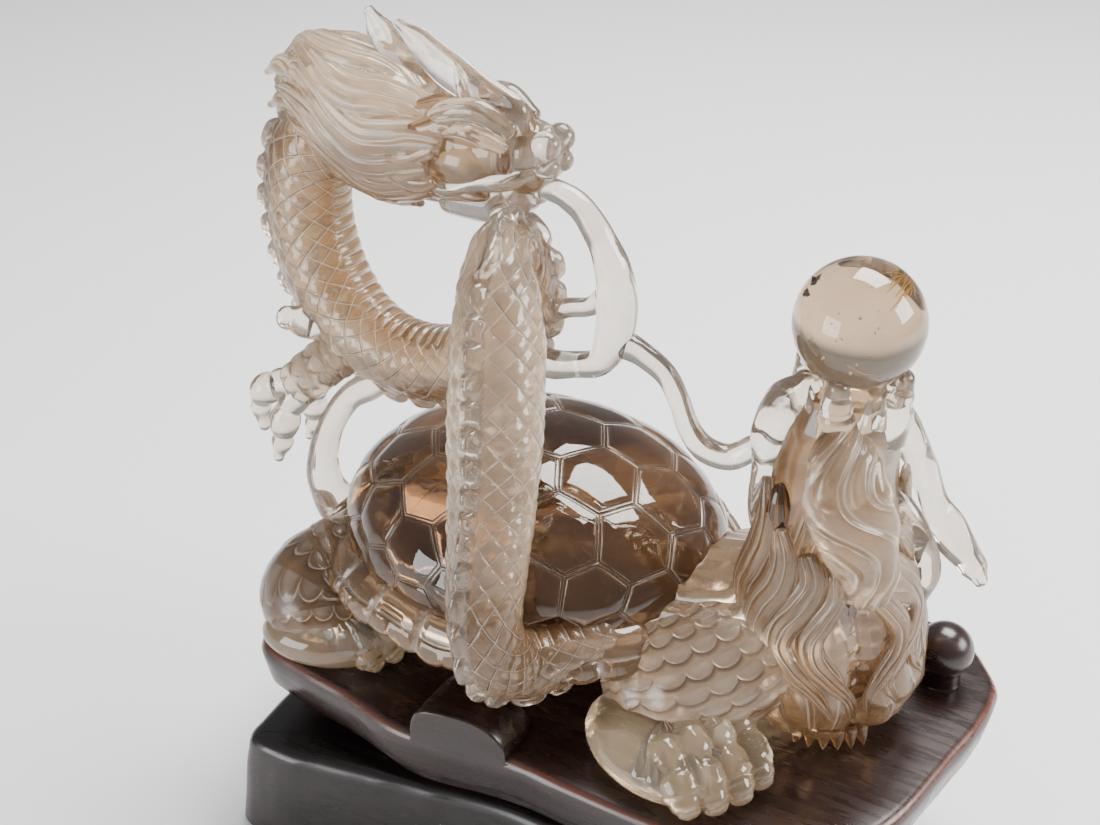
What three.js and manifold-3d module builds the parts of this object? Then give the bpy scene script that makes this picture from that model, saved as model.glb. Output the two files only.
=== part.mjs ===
// Quartz dragon turtle on its wooden stand. Millimetres, +Z up, the turtle looks along +X.
// The origin is the middle of the stand's underside.
import * as THREE from 'three';
import { mergeVertices } from 'three/addons/utils/BufferGeometryUtils.js';
import Module from 'manifold-3d';

const wasm = await Module();
wasm.setup();

// Driving sizes of the quartz carving
const carvingHeight = 139;
const pearlDiameter = 24.6;
const scuteAcross = 15.5;
const scuteGroove = 0.9;
const marginalCount = 23;
const marginalGroove = 0.8;
const crestPitch = 6.2;
const crestHeight = 2.6;
const bodyScaleDepth = 0.35;
const legScaleDepth = 0.5;

// Driving sizes of the wooden stand
const trayThickness = 18;
const trayOverhang = 6;
const trayEdgeRound = 2.5;
const trayTaper = 6.5;
const neckHeight = 4;
const neckInset = 14;
const plinthHeight = 26;
const plinthFlare = 3;
const plinthEdgeRound = 3;
const hillLength = 22;
const hillHeight = 7.5;
const hillDepth = 15;
const knobDiameter = 12.5;
const knobNeckDiameter = 8.5;
const knobNeckHeight = 3;

// Clearance wherever one piece rests on another
const restingGap = 0.3;

// Every place on the carving is given for a carving 139 mm tall and is a share of its height
const standardHeight = 139;
const share = carvingHeight / standardHeight;
const up = new THREE.Vector3(0, 0, 1);

const place = ([x, y, z]) => new THREE.Vector3(x, y, z).multiplyScalar(share);
const smooth = (t) => t * t * (3 - 2 * t);
const evenTurns = (count) => Array.from({ length: count }, (_, k) => (k / count) * 2 * Math.PI);

// A closed geometry becomes a solid that can be joined and cut
function solid(geometry) {
  const bare = new THREE.BufferGeometry();
  bare.setAttribute('position', geometry.attributes.position.clone());
  bare.setIndex(geometry.index ? geometry.index.clone() : null);
  const welded = mergeVertices(bare, 1e-4);
  const mesh = new wasm.Mesh({
    numProp: 3,
    vertProperties: new Float32Array(welded.attributes.position.array),
    triVerts: new Uint32Array(welded.index.array),
  });
  return new wasm.Manifold(mesh);
}

function geometryOf(manifold) {
  const mesh = manifold.getMesh();
  const geometry = new THREE.BufferGeometry();
  geometry.setAttribute('position', new THREE.BufferAttribute(new Float32Array(mesh.vertProperties), 3));
  geometry.setIndex(new THREE.BufferAttribute(new Uint32Array(mesh.triVerts), 1));
  geometry.computeVertexNormals();
  return geometry;
}

const join = (solids) => wasm.Manifold.union(solids);

// Fills the small sealed hollows that joined forms can leave between them, whose skins face in
const filled = (manifold) => join(manifold.decompose().filter((skin) => skin.volume() > 0));

// The value between two stations of a list, for one number of each station
function between(stations, at, pick) {
  const low = Math.min(Math.floor(at), stations.length - 2);
  const mix = smooth(at - low);
  return pick(stations[low]) * (1 - mix) + pick(stations[low + 1]) * mix;
}

function routeOf(stations) {
  const curve = new THREE.CatmullRomCurve3(stations.map(place), false, 'centripetal');
  curve.arcLengthDivisions = 40 * stations.length;
  return curve;
}

// A bar along a smooth curve. A station is [x, y, z, half height, half width], and the half
// width is the half height where it is left out. back points away from the belly, and
// relief(along, angle, length) is the depth of the carving at a place on the skin.
function bar(stations, { sides, rings, tips = [0.5, 0.5], backs = null, relief = null, angles = null }) {
  const curve = routeOf(stations);
  const length = curve.getLength();
  const geometry = new THREE.CylinderGeometry(1, 1, 1, sides, rings);
  const position = geometry.attributes.position;
  const last = stations.length - 1;
  const back = new THREE.Vector3();
  for (let i = 0; i < position.count; i++) {
    const along = Math.min(1, Math.max(0, 0.5 - position.getY(i)));
    const middle = Math.hypot(position.getX(i), position.getZ(i)) < 0.5;
    const turn = Math.atan2(position.getX(i), position.getZ(i));
    const column = ((Math.round((turn / (2 * Math.PI)) * sides) % sides) + sides) % sides;
    const angle = angles ? angles[column] : (column / sides) * 2 * Math.PI;
    const at = curve.getUtoTmapping(along);
    const point = curve.getPoint(at);
    const tangent = curve.getTangent(at);
    const high = between(stations, at * last, (s) => s[3]) * share;
    const wide = between(stations, at * last, (s) => s[4] ?? s[3]) * share;
    if (backs) {
      back.set(...[0, 1, 2].map((k) => between(backs, at * last, (b) => b[k])));
    } else {
      back.copy(Math.abs(tangent.z) < 0.9 ? up : new THREE.Vector3(1, 0, 0));
    }
    back.addScaledVector(tangent, -back.dot(tangent)).normalize();
    const side = new THREE.Vector3().crossVectors(back, tangent);
    if (middle) {
      const tip = along < 0.5 ? -tips[0] : tips[1];
      point.addScaledVector(tangent, tip * Math.min(high, wide));
    } else {
      const cut = relief ? relief(along, angle, length) : 0;
      point.addScaledVector(back, Math.cos(angle) * (high + cut));
      point.addScaledVector(side, Math.sin(angle) * (wide + cut));
    }
    position.setXYZ(i, point.x, point.y, point.z);
  }
  if (angles) crossTheNet(geometry, sides, rings);
  return solid(geometry);
}

// Turns every second diagonal of a tube's skin, so that the raised corners become pyramids
// and the low corners join up as a net of grooves
function crossTheNet(geometry, sides, rings) {
  const index = geometry.index;
  for (let x = 0; x < sides; x++) {
    for (let y = 0; y < rings; y++) {
      if ((x + y) % 2 === 0) continue;
      const first = (x * rings + y) * 6;
      const [a, b, d, , c] = [0, 1, 2, 3, 4].map((k) => index.getX(first + k));
      [a, b, c, a, c, d].forEach((corner, k) => index.setX(first + k, corner));
    }
  }
}

// A boss: a ball stretched to three half sizes and turned about its middle
function boss(centre, [a, b, c], { turn = [0, 0, 0], around, down }) {
  const geometry = new THREE.SphereGeometry(1, around, down);
  geometry.rotateX(Math.PI / 2);
  geometry.scale(a * share, b * share, c * share);
  geometry.applyMatrix4(new THREE.Matrix4().makeRotationFromEuler(new THREE.Euler(...turn)));
  geometry.translate(...place(centre).toArray());
  return solid(geometry);
}

// A pointed tooth or scale tip from its root to its point
function tooth(root, point, thick) {
  const from = place(root);
  const to = place(point);
  const aim = to.clone().sub(from).normalize();
  const geometry = new THREE.ConeGeometry(thick * share, from.distanceTo(to), 4);
  geometry.applyQuaternion(new THREE.Quaternion().setFromUnitVectors(new THREE.Vector3(0, 1, 0), aim));
  geometry.translate(...from.add(to).multiplyScalar(0.5).toArray());
  return solid(geometry);
}

// Shell. The dome is a half ellipsoid and the rim a sloping band round it.
const domeBase = 27;
const dome = { long: 44, wide: 37.5, high: 25 };
const domeMap = { long: 55.5, wide: 49.5 };
const rim = { long: 50, wide: 43.5, top: 26.5, low: 20.5 };
const rimUnderside = rim.low - 2.5;

// A place on the dome for a point of its flat map, which measures domeMap from the top down to
// the base, raised above the skin by lift
function onDome(x, y, lift) {
  const reach = Math.hypot(x / domeMap.long, y / domeMap.wide);
  const around = Math.atan2(y / domeMap.wide, x / domeMap.long);
  const fall = reach * (Math.PI / 2);
  return place([
    (dome.long + lift) * Math.sin(fall) * Math.cos(around),
    (dome.wide + lift) * Math.sin(fall) * Math.sin(around),
    domeBase + (dome.high + lift) * Math.cos(fall),
  ]);
}

// The middle of a scute. Neighbouring scutes differ a little, as hand cut ones do.
function scuteMiddle(column, row) {
  const wander = 0.13 * scuteAcross;
  const shift = Math.sin(column * 12.9 + row * 78.2) * wander;
  const drift = Math.cos(column * 39.3 + row * 11.1) * wander;
  const stagger = (Math.abs(row) % 2) / 2;
  return [
    (row * Math.sqrt(3) * scuteAcross) / 2 + 4 + drift,
    (column + stagger) * scuteAcross + 1.5 + shift,
  ];
}

function scutedDome() {
  const neighbours = (row) => {
    const odd = Math.abs(row) % 2;
    return [[0, 1], [1, odd], [1, odd - 1], [0, -1], [-1, odd - 1], [-1, odd]];
  };
  const corners = [];
  const edges = new Map();
  const key = (p) => `${Math.round(p.x * 50)},${Math.round(p.y * 50)},${Math.round(p.z * 50)}`;
  const triangle = (a, b, c) => corners.push(a, b, c);
  const plate = 0.84;
  const pastTheBase = 1.06;
  const reach = Math.ceil((domeMap.long * pastTheBase) / scuteAcross);
  for (let row = -reach; row <= reach; row++) {
    for (let column = -reach; column <= reach; column++) {
      const [x, y] = scuteMiddle(column, row);
      if (Math.hypot(x / domeMap.long, y / domeMap.wide) > pastTheBase) continue;
      const ring = neighbours(row).map(([dr, dc]) => scuteMiddle(column + dc, row + dr));
      const outer = ring.map((p, k) => {
        const q = ring[(k + 1) % 6];
        return onDome((x + p[0] + q[0]) / 3, (y + p[1] + q[1]) / 3, -scuteGroove);
      });
      const inner = ring.map((p, k) => {
        const q = ring[(k + 1) % 6];
        const cx = (x + p[0] + q[0]) / 3;
        const cy = (y + p[1] + q[1]) / 3;
        return onDome(x + (cx - x) * plate, y + (cy - y) * plate, 0);
      });
      for (let k = 0; k < 6; k++) {
        const n = (k + 1) % 6;
        if (k % 5 !== 0) triangle(inner[0], inner[n], inner[k]);
        triangle(inner[k], inner[n], outer[n]);
        triangle(inner[k], outer[n], outer[k]);
        const there = `${key(outer[n])}|${key(outer[k])}`;
        const back = `${key(outer[k])}|${key(outer[n])}`;
        if (edges.has(back)) edges.delete(back);
        else edges.set(there, [outer[n], outer[k]]);
      }
    }
  }
  const floor = place([0, 0, rimUnderside]);
  for (const [a, b] of edges.values()) triangle(floor, b, a);
  const geometry = new THREE.BufferGeometry().setFromPoints(corners);
  const welded = mergeVertices(geometry, 1e-3);
  return solid(welded);
}

// The rim is a band of marginal scutes, parted by radial grooves, with a wavy lower edge
function marginalRim() {
  const columns = marginalCount * 2;
  const profile = [
    [0.72, rimUnderside], [0.985, rim.low - 1.6], [1.0, rim.low + 0.8], [0.86, rim.top + 0.6],
  ];
  const points = [...profile, profile[0]].map(([r, z]) => new THREE.Vector2(r, z));
  const geometry = new THREE.LatheGeometry(points, columns);
  const position = geometry.attributes.position;
  for (let i = 0; i < position.count; i++) {
    const x = position.getX(i);
    const y = -position.getZ(i);
    const around = Math.atan2(y, x);
    const radius = Math.hypot(x, y);
    const column = Math.round((Math.atan2(x, -y) / (2 * Math.PI)) * columns);
    const groove = radius > 0.8 && column % 2 === 0 ? marginalGroove : 0;
    const wave = radius > 0.95 ? 0.55 * Math.sin(around * 9) + 0.4 * Math.sin(around * 14 + 1) : 0;
    const spot = place([
      (rim.long * radius - groove) * Math.cos(around),
      (rim.wide * radius - groove) * Math.sin(around),
      position.getY(i) - groove / 2 + wave,
    ]);
    position.setXYZ(i, spot.x, spot.y, spot.z);
  }
  return solid(geometry);
}

// Legs. A leg is a scaled shank and a broad foot with round toes, cut flat below. The legs
// that stand further from the near side are carved more plainly.
function leg({ shank, foot, footSize, footTurn, toes, toeSize, rows, toeRings }) {
  const columns = 8;
  const scale = (along, angle) => (
    legScaleDepth * Math.sign(Math.cos((angle * columns) / 2) * Math.cos(along * Math.PI * rows))
  );
  const pieces = [
    bar(shank, { sides: columns, rings: rows, relief: scale, angles: evenTurns(columns) }),
    boss(foot, footSize, { turn: [0, 0, footTurn], around: 8, down: rows }),
  ];
  for (const [from, to] of toes) {
    const knuckle = [0, 1, 2].map((k) => from[k] * 0.45 + to[k] * 0.55);
    knuckle[2] += toeSize * 0.35;
    pieces.push(bar([
      [...from, toeSize * 0.8], [...knuckle, toeSize], [...to, toeSize * 0.75],
    ], { sides: 4, rings: toeRings, tips: [0.4, 0.6] }));
  }
  return join(pieces);
}

const frontLeg = {
  shank: [[36, -8, 22, 13], [43, -14, 21, 15.5], [46, -21, 15, 14], [46, -27, 8, 12]],
  foot: [46, -30.5, 6.5], footSize: [19, 12.5, 9], footTurn: -0.15,
  toes: [
    [[52, -38, 6], [59, -42, 3.6]], [[55, -34, 7], [64, -36.5, 3.8]],
    [[57, -29, 7.5], [66.5, -30, 4]], [[57, -23.5, 7], [67, -23.5, 3.8]],
  ],
  toeSize: 4.2, rows: 5, toeRings: 2,
};
const rearLeg = {
  shank: [[-30, -16, 18, 11], [-37, -22, 14, 13], [-40, -28, 10.5, 13.5], [-38, -31, 6, 12]],
  foot: [-34, -33, 5], footSize: [15.5, 9.5, 6.5], footTurn: 0.35,
  toes: [
    [[-27, -34, 4], [-20.5, -34.5, 3]], [[-25, -30, 4.5], [-18.5, -30, 3.2]],
    [[-24, -26, 5], [-17.5, -25.5, 3.4]], [[-24, -22, 5], [-17.5, -21.5, 3.6]],
  ],
  toeSize: 3, rows: 4, toeRings: 2,
};

// The same leg on the far side
const mirrored = ([x, y, ...others]) => [x, -y, ...others];
const across = (spec) => ({
  ...spec,
  shank: spec.shank.map(mirrored),
  foot: mirrored(spec.foot),
  footTurn: -spec.footTurn,
  toes: spec.toes.map(([from, to]) => [mirrored(from), mirrored(to)]),
  rows: 4,
  toeRings: 1,
});
const legs = () => [frontLeg, rearLeg, across(frontLeg), across(rearLeg)].map(leg);

// Neck and chest of the turtle. The head is thrown up to hold the pearl and faces out to
// the near side, so the chest is cut round the direction it faces.
const facing = [0.72, -0.69, 0];
const facingTurn = Math.atan2(facing[1], facing[0]);
const chestStations = [
  [71, 3, 4.5, 12, 16.5], [70.5, 3, 12, 14.5, 20], [69.5, 3, 24, 14.5, 20], [67.5, 1.5, 38, 13.5, 18],
  [66.5, 1, 50, 12, 15], [67, 0.5, 61, 11, 12.5], [68, 0, 72, 10, 11.5], [68.8, 0, 80, 8, 9.5],
];

function chest() {
  const hair = (along, angle) => {
    const parting = Math.cos(angle) > 0.94 && along < 0.5 ? -1.8 : 0;
    return parting + 0.8 * Math.cos(angle * 6) * (along < 0.8 ? 1 : 0);
  };
  return [
    bar(chestStations, {
      sides: 12, rings: 7, tips: [0.1, 0.2], relief: hair, backs: chestStations.map(() => facing),
    }),
    bar([[34, 0, 21, 12, 20], [48, 0, 22, 13, 19], [60, 1, 26, 14, 18], [66, 1, 32, 12, 15]], {
      sides: 10, rings: 3, relief: (along, angle) => 0.7 * Math.cos(angle * 5),
    }),
  ];
}

// The fringe of scale tips under the chest
function chestFringe() {
  const tips = [];
  for (let k = 0; k < 5; k++) {
    const lean = facingTurn - 0.8 + k * 0.3;
    const out = (reach, z) => [69.5 + Math.cos(lean) * reach, 2 + Math.sin(lean) * reach, z];
    tips.push(tooth(out(11.5, 9), out(16, 2.4), 3.2));
  }
  return tips;
}

// The beard hangs from the chin as a broad fluted tongue and parts in locks over the chest
function beard() {
  const tongue = [
    [71, -7.5, 74, 2.6, 3], [72.4, -10.5, 70, 3.4, 5.5], [74.3, -12, 64, 4.4, 8.4], [77.3, -12, 57, 4.4, 8],
    [79.5, -10.5, 49, 3.8, 6], [80.5, -9.5, 42, 2.4, 4],
  ];
  const locks = [
    [[72, -13, 56, 3], [69, -13.5, 46, 3.2], [71, -12.5, 34, 2.6], [73.5, -10.5, 25, 1]],
    [[82, -7, 54, 3], [84, -5, 44, 3], [83.5, -2.5, 33, 2.4], [81.5, -3.5, 24, 1]],
    [[66.5, -11, 62, 2.4], [65, -13.5, 52, 2.8], [62.5, -14, 40, 2.4], [65, -14, 28, 1]],
    [[84, -3, 60, 2.4], [87, -1, 50, 2.6], [87, 3, 40, 2.4], [85.5, 6, 28, 1]],
  ];
  return [
    bar(tongue, {
      sides: 8, rings: 6, backs: tongue.map(() => facing), relief: (along, angle) => 0.5 * Math.cos(angle * 4),
    }),
    ...locks.map((lock) => bar(lock, { sides: 4, rings: 4, tips: [0.2, 0.8] })),
  ];
}

const pearlRadius = pearlDiameter / 2;
const pearlSeat = [68.8, 0, 81.5];

// Four curled lips and a ring of teeth hold the pearl
function jaws() {
  const about = (angle, reach, drop) => [
    pearlSeat[0] + Math.cos(angle) * reach, pearlSeat[1] + Math.sin(angle) * reach, pearlSeat[2] + drop,
  ];
  const pieces = [];
  for (let k = 0; k < 4; k++) {
    const angle = facingTurn + Math.PI / 4 + (k * Math.PI) / 2;
    pieces.push(bar([
      [...about(angle, 7.6, -10), 3.6], [...about(angle, 8.4, -3), 3.6], [...about(angle, 9.2, 3.4), 2.2],
    ], { sides: 5, rings: 3, tips: [0.4, 0.6] }));
    pieces.push(tooth(about(angle + 0.8, 8.4, -6), about(angle + 0.8, 9.6, 2), 2.2));
  }
  return pieces;
}

// The ears, the long horn swept down behind the head and the cheek on the shell's side
function ears() {
  return [
    bar([
      [72, 9, 76, 3], [76, 12, 68, 3.4], [80, 14, 60, 2.8], [83, 15, 52, 2.6], [87, 15, 46, 3.8, 2.2],
      [93, 15, 39, 2.6, 1.6], [95, 15, 36, 1.2],
    ], { sides: 5, rings: 7, tips: [0.4, 0.8] }),
    bar([[76, 6.5, 58, 2.4], [82.5, 7.5, 48, 3], [85.5, 8, 40, 3], [84.5, 8, 32, 2]], { sides: 5, rings: 3 }),
    bar([
      [62, -5, 82, 2.6], [58, -5, 76, 4.4], [56, -4, 69, 4.4], [55, -5, 61, 2.6], [56, -6, 52, 3],
      [58, -5, 44, 3],
    ], { sides: 6, rings: 6, tips: [0.8, 0.4] }),
  ];
}

// The serpent dragon: its long body, and the way its crest points at each station
const serpentStations = [
  [-28.5, -6, 112.7, 7], [-40.7, -6, 114.5, 8.6], [-48, -7, 107.4, 8.8], [-50, -7.5, 98.4, 8.8],
  [-49, -8, 88.7, 8.8], [-45.3, -8.5, 79.1, 8.8], [-37.7, -9, 70.3, 8.7], [-27.5, -9, 66.3, 8.3],
  [-16.4, -9, 67.3, 8], [-6.1, -9.5, 72.3, 8], [0.8, -10, 82.1, 7.6], [3.4, -11.5, 92.8, 6.6],
  [3.5, -14.5, 99.4, 5.8], [4.6, -20, 100.6, 6.2], [6.8, -24.5, 94.2, 8], [8.6, -28, 85.5, 9.2],
  [11.3, -33.5, 71.5, 9.2], [13.2, -38.5, 57.2, 8.5], [14.8, -43, 47.5, 7.9], [16.1, -46.5, 38, 7.4],
  [16.7, -45, 28.8, 7.2], [18.8, -38, 21.6, 7], [24.7, -31, 21.6, 6.2], [30.6, -24, 23.6, 5.5],
];
const serpentBacks = [
  [0, 0, 1], [-0.5, 0, 1], [-1, 0, 0.3], [-1, 0, 0], [-1, 0, -0.2], [-0.8, -0.1, -0.6], [-0.4, -0.2, -0.9],
  [0, -0.2, -1], [0.3, -0.1, -1], [0.8, 0.2, -0.6], [0.9, 0.4, -0.2], [0.8, 0.6, 0], [0.3, 0.6, 0.8],
  [0, 0, 1], [-0.2, -0.8, 0.5], [-0.3, -1, 0.3], [-0.3, -1, 0.2], [-0.3, -1, 0.1], [-0.3, -1, 0],
  [-0.3, -1, -0.1], [-0.2, -0.8, -0.5], [0, -0.4, -1], [0.1, -0.2, -1], [0.1, 0, -1],
];

function serpentBody() {
  const columns = [0, 0.36, 1.15, 2.0, Math.PI, -2.0, -1.15, -0.36];
  const ringsOn = (length) => 2 * Math.round(length / (crestPitch * share));
  const skin = (along, angle, length) => {
    const ring = Math.round(along * ringsOn(length));
    if (angle === 0) return ring % 2 ? crestHeight : 0.5;
    if (angle > 3) return ring % 2 ? bodyScaleDepth : 0;
    return (ring + columns.indexOf(angle)) % 2 ? -bodyScaleDepth : bodyScaleDepth;
  };
  const rings = ringsOn(routeOf(serpentStations).getLength());
  return bar(serpentStations, {
    sides: columns.length, rings, backs: serpentBacks, relief: skin, angles: columns,
  });
}

// Head of the serpent dragon: skull and mane in one, then jaw, nostrils, eyes, brows and the
// locks of the mane on both sides of its middle plane, then cheek, brow spike and horns. The
// far side is carved closer to the skull.
const headMiddle = -6;

function serpentHead() {
  const skull = [
    [-55.5, -6, 121.5, 4, 3], [-48, -6, 120.5, 12, 8], [-40, -6, 118.5, 14.2, 10],
    [-30, -6, 115.5, 13.8, 10.5], [-20, -6, 114, 12.2, 10.5], [-10, -6, 114.5, 11.2, 10],
    [-2, -6, 116.5, 8.6, 8.5], [3.5, -6, 116.5, 6.2, 6.5], [8, -6, 117, 5, 5.5],
  ];
  const wave = (along, angle) => (along < 0.62 ? 0.9 * Math.cos(angle * 6) : 0);
  const pieces = [
    bar(skull, { sides: 12, rings: 9, tips: [0.3, 0.4], relief: wave }),
    bar([[-14, -6, 105, 4.5, 6], [-6, -6, 105, 4.6, 6], [1, -6, 106.5, 3.4, 5], [5.5, -6, 108.5, 2, 3]],
      { sides: 6, rings: 3 }),
  ];
  for (const side of [-1, 1]) {
    const out = side < 0 ? 1 : 0.5;
    const at = (x, off, z) => [x, headMiddle + side * off * out, z];
    pieces.push(
      boss(at(6, 4, 118.5), [3, 2.6, 2.8], { around: 5, down: 4 }),
      boss(at(-3, 7.6, 121), [2.7, 2.2, 2.5], { around: 5, down: 4 }),
      bar([
        [...at(-14, 6, 123.5), 2.6], [...at(-7, 6.8, 126), 3.2], [...at(-1, 6.4, 126), 3.2],
        [...at(2.5, 5, 122), 2.4],
      ], { sides: 4, rings: 3 }),
    );
    for (let k = 0; k < (side < 0 ? 3 : 2); k++) {
      const high = 126 - k * 7;
      pieces.push(bar([
        [...at(-42, 6, high - 2), 2.6], [...at(-51, 4.5, high), 2.4], [...at(-58, 2, high - 3), 0.8],
      ], { sides: 4, rings: 3, tips: [0.2, 0.8] }));
    }
  }
  const horn = (stations) => bar(stations, { sides: 5, rings: 4, tips: [0.4, 1] });
  pieces.push(
    boss([-10, -12.5, 114], [5.5, 4, 6.5], { around: 6, down: 4 }),
    tooth([-7, -12, 125.5], [-9.5, -12, 133.5], 2.4),
    horn([
      [-4, -9.5, 124.5, 4, 2.6], [-12, -10.5, 128.5, 4.4, 2.8], [-19.5, -11, 133.5, 3.4, 2.2],
      [-24.5, -11, 138, 1.4, 1.2],
    ]),
    horn([
      [-16, -3, 120, 3.4, 2.6], [-24, -3, 124.5, 4.2, 2.8], [-30.5, -3, 131, 3.2, 2.2], [-35, -3, 138, 1.2, 1],
    ]),
  );
  return pieces;
}

// The clear stream of water from the serpent's mouth, its branch, the tube that runs on to
// the turtle's head, the short peg under the chin and the prop down to the rim
function water() {
  return [
    bar([
      [1, -7, 108, 2], [4.6, -7, 109.6, 2], [9.8, -8, 110.4, 2.2], [15.3, -8.5, 108.6, 2.6],
      [19.9, -9, 103.5, 3], [22.8, -9, 97.2, 3.6], [23.8, -9, 91.2, 4], [23.4, -9, 83.6, 3.8],
      [20.4, -9, 77.2, 3], [14.8, -9, 75, 2.8], [8.9, -9.5, 74, 3], [3, -9.5, 76, 3],
    ], { sides: 6, rings: 12 }),
    bar([
      [22.5, -9, 92.4, 2.6], [18, -9, 88.6, 1.9], [13.4, -9.5, 87.4, 2], [8.3, -10, 85.4, 2.6], [3, -10, 85, 3],
    ], { sides: 5, rings: 3 }),
    bar([
      [22, -9, 82, 2.8], [25.8, -9, 82.2, 2.7], [29.9, -8.5, 80.7, 2.3], [34.5, -8, 77.5, 2.2],
      [36.8, -7, 72.4, 2.3], [38.6, -5, 64.9, 2.4], [41.4, -3, 60.1, 2.6], [45.8, -1, 58.7, 2.6],
      [50, 0, 61.6, 2.6], [56, 0, 66, 3],
    ], { sides: 5, rings: 11 }),
    bar([[-4.5, -8, 107, 2.6], [-0.5, -12, 105.8, 2.2], [3.2, -16.5, 104.2, 2.6]], { sides: 5, rings: 2 }),
    bar([
      [-30, -11, 62, 3.6], [-33.7, -12, 58.6, 3.2], [-39.6, -12.5, 54, 2.9], [-44.5, -13, 46.7, 3.1],
      [-47.4, -13.5, 38.3, 3.4], [-47.9, -13.5, 30.6, 3.9], [-45.1, -13, 24.4, 5], [-42, -12, 20, 5],
    ], { sides: 5, rings: 7 }),
  ];
}

// The arm and clawed paw below the serpent's neck
function arm() {
  const talon = (list) => bar(list, { sides: 5, rings: 3, tips: [0.3, 1] });
  return [
    bar([
      [-36, -11, 70, 6], [-41, -13, 65, 5.4], [-45, -16, 61.4, 5.2], [-49, -18, 57.4, 5],
    ], { sides: 6, rings: 3 }),
    bar([
      [-42, -13, 70, 3], [-47.5, -16, 72, 3.6], [-51, -18, 73, 2.6],
    ], { sides: 6, rings: 3, tips: [0.4, 0.8] }),
    talon([[-49, -18, 57.5, 3.8], [-55.5, -20, 56, 3.4], [-58.2, -20.5, 51.5, 2.6], [-58, -20.5, 45.5, 1.3]]),
    talon([[-48, -18, 57, 3.8], [-51, -20.5, 51, 3.2], [-52.5, -21, 44, 2.6], [-54.3, -21, 38.6, 1.2]]),
    talon([[-47, -15, 57, 3.4], [-49.5, -13, 51, 2.8], [-51, -12, 44, 2], [-52.5, -12, 40, 1]]),
  ];
}

// A short curled tail between the rear legs
const tail = () => bar([
  [-42, 2, 18, 8, 9], [-50, 4, 13, 5.5, 7], [-55, 9, 10, 3.6, 4.6], [-56, 15, 9.5, 1.6, 2],
], { sides: 8, rings: 5, tips: [0.3, 0.8], relief: (along, angle) => 0.4 * Math.cos(angle * 4) });

function pearl() {
  const geometry = new THREE.SphereGeometry(pearlRadius, 14, 9);
  geometry.rotateX(Math.PI / 2);
  const seat = place(pearlSeat);
  geometry.translate(seat.x, seat.y, seat.z + pearlRadius);
  return solid(geometry);
}

function crystalCarving() {
  const belly = boss([0, 0, 21.5], [45, 39, 13], { around: 12, down: 6 });
  const whole = join([
    scutedDome(), marginalRim(), belly, ...legs(), tail(),
    ...chest(), ...chestFringe(), ...beard(), ...jaws(), ...ears(), pearl(),
    serpentBody(), ...serpentHead(), ...arm(), ...water(),
  ]);
  const depth = carvingHeight / 4;
  const below = new THREE.BoxGeometry(3 * carvingHeight, 3 * carvingHeight, depth);
  below.translate(0, 0, restingGap - depth / 2);
  return filled(whole.subtract(solid(below)));
}

// Stand. Both wooden pieces are blocks with a free outline, given in shares of the tray's half
// length and half width, whose side steps in and out on the way down.
const trayTop = plinthHeight + neckHeight + trayThickness;
const carvingGround = { middle: 22, length: 145, width: 84 };
const standMiddle = [carvingGround.middle * share, 0];
const trayHalfLength = (carvingGround.length * share) / 2 + trayOverhang;
const trayHalfWidth = (carvingGround.width * share) / 2 + trayOverhang;
const trayShape = [
  [0.995, 0.61], [1.0, 0.4], [0.965, 0.02], [0.91, -0.43], [0.8, -0.76], [0.6, -0.93], [0.36, -0.94],
  [0.12, -0.93], [-0.04, -0.92], [-0.36, -0.99], [-0.57, -0.92], [-0.77, -0.87], [-0.91, -0.81],
  [-0.985, -0.55], [-1, -0.1], [-0.98, 0.42], [-0.9, 0.75], [-0.72, 0.9], [-0.28, 0.98], [0.24, 1],
  [0.64, 0.98], [0.84, 0.92], [0.93, 0.78], [0.985, 0.65],
];
const plinthShape = [
  [0.88, 0.05], [0.92, -0.25], [0.88, -0.6], [0.74, -0.86], [0.5, -0.9], [0.2, -0.86], [-0.1, -0.84],
  [-0.36, -0.92], [-0.6, -1.0], [-0.82, -1.06], [-0.95, -1.0], [-0.985, -0.7], [-0.98, -0.2], [-0.94, 0.3],
  [-0.82, 0.76], [-0.55, 0.88], [-0.1, 0.86], [0.3, 0.76], [0.6, 0.6], [0.8, 0.35],
];

// A place on the stand from its shares of the tray's half length and half width
const onStand = ([x, y]) => [standMiddle[0] + x * trayHalfLength, standMiddle[1] + y * trayHalfWidth];

// levels lists the height and the inset of the side from the outline, from the top down
function block(shape, levels, sides) {
  const corners = shape.map(onStand).map(([x, y]) => new THREE.Vector3(x, y, 0));
  const outline = new THREE.CatmullRomCurve3(corners, true, 'centripetal');
  const geometry = new THREE.CylinderGeometry(1, 1, 1, sides, levels.length - 1);
  const position = geometry.attributes.position;
  for (let i = 0; i < position.count; i++) {
    const [z, inset] = levels[Math.round((0.5 - position.getY(i)) * (levels.length - 1))];
    if (Math.hypot(position.getX(i), position.getZ(i)) < 0.5) {
      position.setXYZ(i, standMiddle[0], standMiddle[1], z);
      continue;
    }
    const turn = Math.atan2(position.getX(i), position.getZ(i)) / (2 * Math.PI);
    const spot = outline.getPointAt((1 - turn) % 1);
    const run = new THREE.Vector2(spot.x - standMiddle[0], spot.y - standMiddle[1]);
    run.setLength(run.length() - inset);
    position.setXYZ(i, run.x + standMiddle[0], run.y + standMiddle[1], z);
  }
  return solid(geometry);
}

// The rounded hill on the near edge, whose end is cut flush with the tray's side
const hillPlace = [-0.18, -1];

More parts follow.
